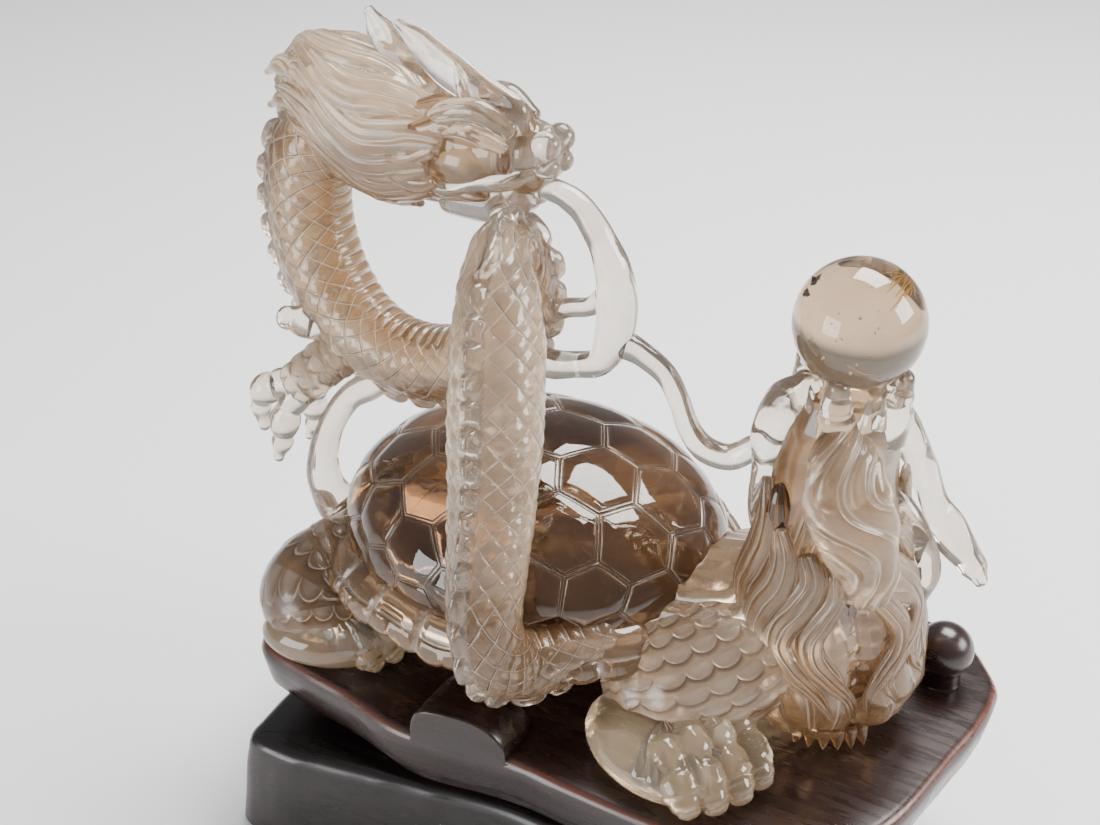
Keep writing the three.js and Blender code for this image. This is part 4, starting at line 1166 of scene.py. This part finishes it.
def tray_forms():
    """The tray: a block with rounded edges that tapers below, the hump, and a knob on a neck."""
    border = outline(TRAY_SHAPE, 260)
    taper = [(-10.8 - 7.2 * t, 1.625 + 4.875 * t) for t in (0.2, 0.5, 0.8, 0.95)]
    levels = rounded_levels(0.0, 0.0, 2.5) + [(-5.0, 0.25), (-8.0, 0.8), (-10.8, 1.625)] + taper
    levels += [(-17.7, 6.4), (-18.0, 7.0), (-18.0, 14.0), (-22.0, 14.0)]
    ball_part = ball((*KNOB_PLACE, 8.25), (KNOB_RADIUS,) * 3, 0, 40, 28)
    neck = bar([(*KNOB_PLACE, -1.5, KNOB_NECK_RADIUS + 0.8), (*KNOB_PLACE, 0.6, KNOB_NECK_RADIUS),
                (*KNOB_PLACE, 4.5, KNOB_NECK_RADIUS)], 10, 40, 0, tips=(0.1, 0.1))
    # Rings 6 and 7, on the tray's rounded top edge, are painted a lighter red.
    return on_stand([layered(border, levels, 0.12, (6, 8)), hill(), ball_part, neck])


def plinth_form():
    """The broad lower step: sides that flare towards the ground and a rounded top edge."""
    border = outline(PLINTH_SHAPE, 240)
    levels = rounded_levels(26.0, 3.0, 3.0, 8)
    levels += [(18.0, 2.1), (12.0, 1.35), (6.0, 0.6), (1.5, 0.0), (0.5, 0.25), (0.0, 1.0)]
    form = layered(border, levels, 0.15)
    form.points = form.points - [0, 0, STAND_HEIGHT]
    return on_stand([form])[0]


# Materials: every colour and roughness is worked out on the piece itself
class Recipe:
    """One procedural material: a Principled shader with helpers that add and link nodes."""

    def __init__(self, name, **values):
        self.material = bpy.data.materials.new(name)
        self.material.use_nodes = True
        self.tree = self.material.node_tree
        self.shader = next(n for n in self.tree.nodes if n.type == "BSDF_PRINCIPLED")
        for socket, value in values.items():
            self.shader.inputs[socket.replace("_", " ")].default_value = value
        self.place = self.tree.nodes.new("ShaderNodeTexCoord").outputs["Object"]

    def link(self, source, target):
        """Joins an output to an input."""
        self.tree.links.new(source, target)

    def stretched(self, scale, turn=(0, 0, 0)):
        """Object coordinates with a scale on each axis."""
        node = self.tree.nodes.new("ShaderNodeMapping")
        node.inputs["Scale"].default_value = scale
        node.inputs["Rotation"].default_value = turn
        self.link(self.place, node.inputs["Vector"])
        return node.outputs["Vector"]

    def noise(self, scale, detail=3.0, place=None, bent=0.0):
        """Cloudy noise from 0 to 1, bent by its own swirls."""
        node = self.tree.nodes.new("ShaderNodeTexNoise")
        node.inputs["Scale"].default_value = scale
        node.inputs["Detail"].default_value = detail
        node.inputs["Distortion"].default_value = bent
        self.link(place or self.place, node.inputs["Vector"])
        return node.outputs["Fac"]

    def specks(self, scale, place=None, randomness=1.0):
        """Distance to the nearest of scattered points."""
        node = self.tree.nodes.new("ShaderNodeTexVoronoi")
        node.inputs["Scale"].default_value = scale
        node.inputs["Randomness"].default_value = randomness
        self.link(place or self.place, node.inputs["Vector"])
        return node.outputs["Distance"]

    def share(self, source, low, high, to_low=0.0, to_high=1.0):
        """Values between low and high become values between to_low and to_high."""
        node = self.tree.nodes.new("ShaderNodeMapRange")
        node.interpolation_type = "SMOOTHSTEP"
        for socket, value in zip(("From Min", "From Max", "To Min", "To Max"), (low, high, to_low, to_high)):
            node.inputs[socket].default_value = value
        self.link(source, node.inputs["Value"])
        return node.outputs["Result"]

    def mix(self, amount, one, two):
        """A colour between two, by an amount from 0 to 1."""
        node = self.tree.nodes.new("ShaderNodeMix")
        node.data_type = "RGBA"
        self.link(amount, node.inputs["Factor"])
        for socket, value in ((node.inputs["A"], one), (node.inputs["B"], two)):
            if isinstance(value, tuple):
                socket.default_value = (*value, 1.0)
            else:
                self.link(value, socket)
        return node.outputs["Result"]

    def sum(self, one, two, how="ADD"):
        """The sum of two values, or what another step makes of them, held between 0 and 1."""
        node = self.tree.nodes.new("ShaderNodeMath")
        node.operation = how
        node.use_clamp = True
        for socket, value in zip(node.inputs, (one, two)):
            if isinstance(value, (int, float)):
                socket.default_value = value
            else:
                self.link(value, socket)
        return node.outputs["Value"]

    def calc(self, how, *values):
        """One step of arithmetic on one or two values, not held between limits."""
        node = self.tree.nodes.new("ShaderNodeMath")
        node.operation = how
        for socket, value in zip(node.inputs, values):
            if isinstance(value, float):
                socket.default_value = value
            else:
                self.link(value, socket)
        return node.outputs["Value"]

    def blend(self, amount, one, two):
        """A value between two, by an amount from 0 to 1."""
        return self.calc("ADD", one, self.calc("MULTIPLY", amount, self.calc("SUBTRACT", two, one)))

    def near_whole(self, value):
        """Distance to the nearest whole number, from 0 to a half."""
        return self.calc("PINGPONG", value, 0.5)

    def marks(self):
        """The two pattern marks of a place, from the mesh's map."""
        node = self.tree.nodes.new("ShaderNodeUVMap")
        node.uv_map = "marks"
        split = self.tree.nodes.new("ShaderNodeSeparateXYZ")
        self.link(node.outputs["UV"], split.inputs["Vector"])
        return split.outputs["X"], split.outputs["Y"]

    def line(self):
        """How far a place lies in a cut line, from the mesh."""
        node = self.tree.nodes.new("ShaderNodeAttribute")
        node.attribute_name = "line"
        return node.outputs["Fac"]

    def bump(self, height, strength, distance):
        """Fine relief: a height from 0 to 1 over a depth in metres."""
        node = self.tree.nodes.new("ShaderNodeBump")
        node.inputs["Strength"].default_value = strength
        node.inputs["Distance"].default_value = distance
        self.link(height, node.inputs["Height"])
        self.link(node.outputs["Normal"], self.shader.inputs["Normal"])

    def paint(self, colour=None, roughness=None):
        """Gives the shader its worked out colour and roughness."""
        if colour is not None:
            self.link(colour, self.shader.inputs["Base Color"])
        if roughness is not None:
            self.link(roughness, self.shader.inputs["Roughness"])


QUARTZ_INDEX = 1.544
# PALE is the frosted colour where painted light stands for thin stone, and DEEP where painted shade stands
# for thick stone; the stone's own cloud also moves between them. BRIGHT colours the cut lines.
PALE, DEEP, BRIGHT = (0.80, 0.62, 0.44), (0.31, 0.172, 0.076), (0.97, 0.93, 0.86)


def whole_lines(look, mark, wide, fine):
    """1 where a mark is a whole number, fading to 0 at a distance of wide."""
    return look.share(look.near_whole(mark), wide, fine)


def clear_quartz():
    """Polished, nearly colourless quartz with a faint warm cloud."""
    look = Recipe("clear_quartz", IOR=QUARTZ_INDEX, Transmission_Weight=0.95)
    cloud = look.share(look.noise(70, 4), 0.42, 0.72)
    colour = look.mix(cloud, (0.89, 0.83, 0.75), (0.74, 0.63, 0.51))
    look.paint(colour, look.share(cloud, 0, 1, 0.02, 0.1))
    look.bump(look.noise(420, 3), 0.06, 0.0004)
    return look.material


def sole_quartz():
    """Half-polished yellowish quartz of the feet, with fine dark specks."""
    look = Recipe("sole_quartz", IOR=QUARTZ_INDEX, Transmission_Weight=0.9)
    cloud = look.share(look.noise(60, 5), 0.4, 0.7)
    colour = look.mix(cloud, (0.96, 0.78, 0.53), (0.80, 0.59, 0.37))
    speck = look.share(look.specks(420), 0.1, 0.04)
    colour = look.mix(look.sum(speck, 0.5, "MULTIPLY"), colour, (0.3, 0.2, 0.12))
    look.paint(colour, look.share(cloud, 0, 1, 0.08, 0.2))
    look.bump(look.noise(500, 3), 0.1, 0.0003)
    return look.material


def frosted(name, pale, deep, transmission, rough):
    """Quartz left matt by the carving tools, with a champagne cloud. Its colour is painted light and
    shade: painted pale where little stone lies behind it, out on the near coil, on the front thigh, on
    the beard and high on the head, and painted deeper where thick stone would darken the light passing
    through. Thin is the largest of those four shares, and the painted shade deepens the colour as thin
    falls; the cloud is the stone's own mottling."""
    look = Recipe(name, IOR=QUARTZ_INDEX, Transmission_Weight=transmission, Roughness=rough)
    split = look.tree.nodes.new("ShaderNodeSeparateXYZ")
    look.link(look.place, split.inputs["Vector"])
    across, out, high = (split.outputs[axis] for axis in "XYZ")
    # Painted light: these shares mark where the colour is painted pale, standing in for light passing
    # through thin stone.
    coil = look.calc("MULTIPLY", look.share(out, -0.009, -0.027), look.share(high, 0.080, 0.108))
    width = look.calc("MULTIPLY", look.share(across, 0.0, 0.014), look.share(across, 0.046, 0.036, 0.0, 0.7))
    thigh = look.calc("MULTIPLY", width, look.share(high, 0.088, 0.074))
    chin = look.calc("MULTIPLY", look.share(across, 0.046, 0.053, 0.0, 0.75), look.share(high, 0.080, 0.095))
    head = look.share(high, 0.152, 0.173)
    thin = look.calc("MAXIMUM", look.calc("MAXIMUM", coil, thigh), look.calc("MAXIMUM", chin, head))
    cloud = look.share(look.noise(38, 3), 0.34, 0.68)
    # Painted shade: the colour deepens towards DEEP as the stone thickens, mixed with the stone's own cloud.
    thick = look.calc("MULTIPLY", look.calc("SUBTRACT", 1.0, thin), 0.92)
    amount = look.sum(thick, look.sum(cloud, 0.38, "MULTIPLY"))
    return look, look.mix(amount, pale, deep)


def smooth_frosted():
    """Plain frosted quartz."""
    look, colour = frosted("frosted_quartz", PALE, DEEP, 0.8, 0.16)
    look.paint(colour)
    look.bump(look.noise(500, 2), 0.05, 0.0003)
    return look.material


def hair_quartz():
    """Frosted quartz with bright cut lines along the hair: a strong one where the first mark is
    whole and a faint one beside it."""
    look, colour = frosted("hair_quartz", PALE, DEEP, 0.74, 0.2)
    first, _ = look.marks()
    first = look.calc("ADD", first, look.calc("MULTIPLY", look.noise(50, 1), 0.2))
    strong = whole_lines(look, first, 0.065, 0.02)
    faint = whole_lines(look, look.calc("ADD", first, 0.2), 0.045, 0.01)
    line = look.sum(strong, look.sum(faint, 0.4, "MULTIPLY"))
    look.paint(look.mix(look.sum(line, 0.6, "MULTIPLY"), colour, BRIGHT))
    height = look.share(look.near_whole(first), 0.0, 0.32)
    look.bump(look.sum(height, look.sum(faint, 0.25, "MULTIPLY"), "SUBTRACT"), 0.5, 0.0007)
    return look.material


def scaled_quartz():
    """Frosted quartz in a net of scales: a bright line where either mark is whole, and each scale
    rising towards its far corner."""
    look, colour = frosted("scaled_quartz", PALE, DEEP, 0.78, 0.18)
    first, second = look.marks()
    near = look.calc("MINIMUM", look.near_whole(first), look.near_whole(second))
    line = look.share(near, 0.042, 0.012)
    both = look.calc("ADD", look.calc("FRACT", first), look.calc("FRACT", second))
    rise = look.calc("MULTIPLY", both, 0.42)
    look.paint(look.mix(look.sum(line, 0.6, "MULTIPLY"), colour, BRIGHT))
    look.bump(look.calc("MULTIPLY", rise, look.share(near, 0.01, 0.09)), 0.8, 0.0010)
    return look.material


def shingled_quartz():
    """Frosted quartz in rows of round scales, as the shingles formula has them: each scale's face has
    a painted pale highlight, and its lower edge is a bright line above painted shade where the next
    row lies under it."""
    look, colour = frosted("shingled_quartz", PALE, DEEP, 0.7, 0.24)
    down, over = look.marks()
    base = look.calc("FLOOR", down)

    def row_at(k):
        stagger = look.calc("FRACT", look.calc("MULTIPLY", k, 0.5))
        off = look.near_whole(look.calc("SUBTRACT", over, stagger))
        below = look.calc("SUBTRACT", down, k)
        deep = look.calc("MULTIPLY", look.calc("MAXIMUM", below, 0.0), 0.8)
        square = look.calc("ADD", look.calc("MULTIPLY", deep, deep), look.calc("MULTIPLY", off, off))
        far = look.calc("SQRT", square)
        return look.calc("DIVIDE", far, 0.54), look.share(below, -0.6, 0.7)

    far, upper = row_at(base)
    _, lower = row_at(look.calc("ADD", base, 1.0))
    inside = look.calc("LESS_THAN", far, 1.0)
    under = look.calc("MULTIPLY", lower, 0.55)
    shown = look.calc("MULTIPLY", upper, look.share(far, 1.0, 0.9))
    height = look.blend(inside, under, shown)
    line = look.calc("MULTIPLY", look.share(far, 0.84, 0.94), inside)
    # Painted shade: the strip just beyond each scale's edge, where the next row lies under it, is painted
    # dark brown.
    painted_fold_shade = look.calc("MULTIPLY", look.share(far, 1.42, 1.0), look.calc("SUBTRACT", 1.0, inside))
    # Painted highlight: each scale's face is painted paler towards its middle.
    painted_sheen = look.calc("MULTIPLY", look.share(far, 0.9, 0.3), inside)
    colour = look.mix(look.sum(painted_sheen, 0.3, "MULTIPLY"), colour, (0.86, 0.80, 0.76))
    colour = look.mix(look.sum(painted_fold_shade, 0.9, "MULTIPLY"), colour, (0.16, 0.08, 0.04))
    look.paint(look.mix(look.sum(line, 0.4, "MULTIPLY"), colour, BRIGHT))
    look.bump(height, 1.0, 0.0013)
    return look.material


def smoky(name, dark, light, veil_colour, transmission):
    """Polished brown smoky quartz, mottled light and dark, with bright cut lines."""
    look = Recipe(name, IOR=QUARTZ_INDEX, Transmission_Weight=transmission)
    cloud = look.share(look.noise(38, 6, bent=0.6), 0.36, 0.66)
    colour = look.mix(cloud, dark, light)
    veil = look.share(look.noise(120, 5, look.stretched((1, 1, 2.4), (0.4, 0.2, 0)), 1.2), 0.56, 0.78)
    colour = look.mix(look.sum(veil, 0.6, "MULTIPLY"), colour, veil_colour)
    speck = look.share(look.specks(700), 0.16, 0.08)
    colour = look.mix(look.sum(speck, look.sum(veil, 0.5, "MULTIPLY"), "MULTIPLY"), colour, (0.8, 0.66, 0.5))
    line = look.line()
    rough = look.sum(look.share(cloud, 0, 1, 0.02, 0.06), look.sum(line, 0.3, "MULTIPLY"))
    look.paint(look.mix(look.sum(line, 0.85, "MULTIPLY"), colour, (0.90, 0.82, 0.72)), rough)
    look.bump(look.noise(300, 3), 0.05, 0.0004)
    return look.material


def pearl_quartz():
    """The pearl: a faintly smoky tint with the highest polish."""
    look = Recipe("pearl_quartz", IOR=QUARTZ_INDEX, Transmission_Weight=1.0, Roughness=0.015)
    cloud = look.share(look.noise(60, 3), 0.4, 0.7)
    look.paint(look.mix(cloud, (0.57, 0.42, 0.285), (0.43, 0.30, 0.19)))
    return look.material


def plain(name, colour, roughness=0.5, **values):
    """One plain colour."""
    return Recipe(name, Base_Color=(*colour, 1.0), Roughness=roughness, **values).material


def rosewood(name, dark, warm, gloss):
    """Polished dark rosewood: long grain streaks, fine pores and a satin polish with tiny bright
    scratches."""
    look = Recipe(name, IOR=1.5, Coat_Weight=0.1, Coat_Roughness=0.16)
    grain = look.share(look.noise(5.5, 6, look.stretched((9, 70, 70)), 0.8), 0.3, 0.75)
    broad = look.share(look.noise(13, 3, look.stretched((1, 3, 3))), 0.38, 0.68)
    pores = look.share(look.noise(38, 2, look.stretched((8, 110, 110))), 0.62, 0.74)
    colour = look.mix(look.sum(grain, 0.45, "MULTIPLY"), dark, warm)
    colour = look.mix(look.sum(broad, 0.6, "MULTIPLY"), colour, tuple(c * 0.5 for c in dark))
    colour = look.mix(look.sum(pores, 0.5, "MULTIPLY"), colour, (0.005, 0.003, 0.003))
    scratch = look.share(look.noise(60, 2, look.stretched((2, 26, 26), (0.3, 0.1, 0.5))), 0.73, 0.77)
    colour = look.mix(look.sum(scratch, 0.3, "MULTIPLY"), colour, (0.25, 0.17, 0.15))
    # The rings that the mesh marks in its line attribute are painted a lighter red.
    line = look.line()
    colour = look.mix(look.sum(line, 0.6, "MULTIPLY"), colour, (0.13, 0.038, 0.020))
    look.paint(
        colour, look.sum(look.share(grain, 0, 1, gloss, gloss + 0.1), look.sum(pores, 0.15, "MULTIPLY"))
    )
    look.bump(look.sum(grain, look.sum(pores, 0.8, "MULTIPLY"), "SUBTRACT"), 0.06, 0.0003)
    return look.material


# Sealed inside the quartz
SEED = 12


def spindle(start, end, thick, finish=0, sides=6):
    """A thin needle, thickest in its middle."""
    start, end = np.asarray(start, float), np.asarray(end, float)
    stations = [(*(start + (end - start) * t), thick * (0.35 + 0.65 * np.sin(np.pi * t)))
                for t in (0, 0.5, 1)]
    return bar(stations, 4, sides, finish, tips=(1, 1), cap=1)


def flake(centre, normal, size, seed):
    """A thin crumpled lens with a ragged outline: a healed crack seen as a bright veil."""
    normal = np.asarray(normal, float)
    normal /= np.linalg.norm(normal)
    first = np.cross(normal, (0.3, 0.2, 1.0))
    first /= np.linalg.norm(first)
    second = np.cross(normal, first)
    falls = np.linspace(0, np.pi, 13)[1:-1]
    turns = np.linspace(0, 2 * np.pi, 28, endpoint=False)
    fall, around = np.meshgrid(falls, turns, indexing="ij")
    ragged = 1 + 0.22 * np.sin(around * 3 + seed) + 0.14 * np.sin(around * 7 + seed * 2)
    ragged = ragged + 0.08 * np.sin(around * 13 + seed)
    reach = size * np.sin(fall) * ragged
    bend = size * 0.16 * np.sin(around * 2 + seed) * np.sin(fall) ** 2
    thin = 0.1 * np.cos(fall)
    rows = (np.asarray(centre) + first * (reach * np.cos(around))[..., None]
            + second * (reach * 0.7 * np.sin(around))[..., None] + normal * (bend + thin)[..., None])
    ends = [np.asarray(centre) + normal * t for t in (0.1, -0.1)]
    return tube_skin(rows, ends[0], ends[1], 0)


def gathered(name, forms, finish):
    """One mesh of separate closed forms."""
    points, quads, tris, start = [], [], [], 0
    for form in forms:
        points.append(form.points)
        quads.append(form.quads + start)
        tris.append(form.tris + start)
        start += len(form.points)
    whole = Form(np.vstack(points), np.vstack(quads), np.vstack(tris), 0)
    mesh = mesh_from(name, whole, [finish])
    mesh.shade_smooth()
    return linked(name, mesh)


def inclusions():
    """Golden needles that fan out from the pearl's rim, a dark fleck, bubbles, and veils in the
    shell, all made from a fixed seed."""
    rng = np.random.default_rng(SEED)
    centre = PEARL_SEAT + [0, 0, PEARL_RADIUS]
    needles = []
    root = np.array([0.53, 0.40, 0.75]) * 0.9
    for _ in range(20):
        start = root + rng.normal(0, 0.09, 3)
        start *= min(1, 0.93 / np.linalg.norm(start))
        aim = np.array([-0.395, -0.52, -0.43]) + rng.normal(0, 0.26, 3)
        end = start + aim / np.linalg.norm(aim) * rng.uniform(0.2, 0.5)
        needles.append(
            spindle(centre + start * PEARL_RADIUS, centre + end * PEARL_RADIUS, rng.uniform(0.09, 0.17))
        )
    for _ in range(16):
        spot = np.array([rng.uniform(-18, 20), rng.uniform(-16, 8), rng.uniform(34, 45)])
        way = rng.normal(0, 1, 3)
        way *= rng.uniform(2.5, 6) / np.linalg.norm(way)
        needles.append(spindle(spot - way, spot + way, 0.09))
    dark = [
        flake(centre + np.array([-0.61, -0.25, 0.62]) * PEARL_RADIUS, (0.6, -0.5, 0.3), 1.5, 3.0),
        flake(centre + np.array([-0.66, -0.3, 0.4]) * PEARL_RADIUS, (0.2, -0.6, 0.6), 1.0, 5.0),
    ]
    veils = [flake(centre + np.array([0.15, -0.2, -0.45]) * PEARL_RADIUS, (0.2, 0.4, 0.9), 2.2, 2.0)]
    for k in range(12):
        spot = np.array([rng.uniform(-26, 26), rng.uniform(-22, 14), rng.uniform(33, 44)])
        out = (((spot - [0.0, 0.0, DOME_BASE]) / DOME) ** 2).sum()
        room = np.sqrt(max(0.0, 1 - out))
        veils.append(flake(spot, rng.normal(0, 1, 3), 1.5 + 4 * room, k * 1.7))
    bubbles = []
    for _ in range(26):
        spot = rng.normal(0, 1, 3)
        spot *= rng.uniform(0.2, 0.85) / np.linalg.norm(spot)
        bubbles.append(ball(centre + spot * PEARL_RADIUS, (rng.uniform(0.08, 0.2),) * 3, 0, 8, 6))
    return {
        "quartz_needles": (needles, plain("golden_needle", (0.95, 0.66, 0.12), 0.25, Metallic=0.3)),
        "quartz_dark_flecks": (dark, plain("dark_fleck", (0.07, 0.045, 0.035), 0.6)),
        "quartz_veils": (
            veils, plain("pale_veil", (0.72, 0.60, 0.46), 0.4, Transmission_Weight=0.75, IOR=1.2)
        ),
        "quartz_bubbles": (bubbles, plain("bubble", (0.95, 0.93, 0.9), 0.15)),
    }


# Build
finishes = [
    clear_quartz(),
    smooth_frosted(),
    hair_quartz(),
    scaled_quartz(),
    shingled_quartz(),
    smoky("smoky_quartz", (0.05, 0.02, 0.0075), (0.20, 0.095, 0.038), (0.42, 0.25, 0.125), 0.72),
    smoky("pale_smoky_quartz", (0.20, 0.10, 0.045), (0.46, 0.29, 0.16), (0.72, 0.56, 0.38), 0.76),
    sole_quartz(),
    pearl_quartz(),
]
below = slab((-90, -80, -30), (130, 80, RESTING_GAP))
quartz = joined("quartz_carving", crystal_forms(), finishes, below)
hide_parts("crystal_carving")
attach(quartz, "root")
for name, (forms, finish) in inclusions().items():
    piece = gathered(name, forms, finish)
    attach(piece, "root")

red_wood = rosewood("rosewood", (0.014, 0.006, 0.005), (0.036, 0.013, 0.009), 0.24)
tray = joined("rosewood_tray", tray_forms(), [red_wood], None, 50.0)
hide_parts("stand_tray")
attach(tray, "root")
black_wood = rosewood("blackened_wood", (0.009, 0.006, 0.006), (0.022, 0.011, 0.010), 0.26)
plinth_mesh = mesh_from("rosewood_plinth", plinth_form(), [black_wood])
plinth_mesh.shade_smooth()
plinth_mesh.set_sharp_from_angle(angle=np.radians(50))
plinth = linked("rosewood_plinth", plinth_mesh)
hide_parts("stand_plinth")
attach(plinth, "root")

# Studio: a pale floor, a pale room and soft lamps
bpy.ops.mesh.primitive_plane_add(size=6.0, location=(0, 0, 0))
floor = bpy.context.object
floor.name = "floor"
floor.data.materials.append(plain("floor_paper", (0.80, 0.79, 0.79), 0.8))

world = bpy.context.scene.world or bpy.data.worlds.new("room")
bpy.context.scene.world = world
world.use_nodes = True
room = next(n for n in world.node_tree.nodes if n.type == "BACKGROUND")
room.inputs["Color"].default_value = (0.97, 0.98, 1.0, 1.0)
room.inputs["Strength"].default_value = 0.43


def lamp(name, place, aim, size, power, colour=(1.0, 1.0, 1.0)):
    """A soft lamp, size wide and high, that faces a point."""
    data = bpy.data.lights.new(name, "AREA")
    data.shape, data.size, data.size_y = "RECTANGLE", size[0], size[1]
    data.energy, data.color = power, colour
    light = bpy.data.objects.new(name, data)
    light.location = place
    light.rotation_euler = (Vector(aim) - Vector(place)).to_track_quat("-Z", "Y").to_euler()
    bpy.context.scene.collection.objects.link(light)


lamp("key", (0.06, 0.38, 0.98), (0.0, 0.0, 0.09), (0.62, 0.50), 24.0, (1.0, 0.99, 0.97))
lamp("window", (0.75, 0.25, 0.45), (0.0, 0.0, 0.09), (0.45, 0.35), 9.0)
lamp("front", (-0.42, -0.80, 0.25), (0.0, 0.0, 0.09), (0.5, 0.45), 7.0, (0.96, 0.98, 1.0))

camera_data = bpy.data.cameras.new("camera")
camera_data.lens = 49.45
camera = bpy.data.objects.new("camera", camera_data)
camera.location = (0.121, -0.241, 0.265)
camera.rotation_euler = (np.radians(60), 0.0, np.radians(30))
bpy.context.scene.collection.objects.link(camera)
bpy.context.scene.camera = camera
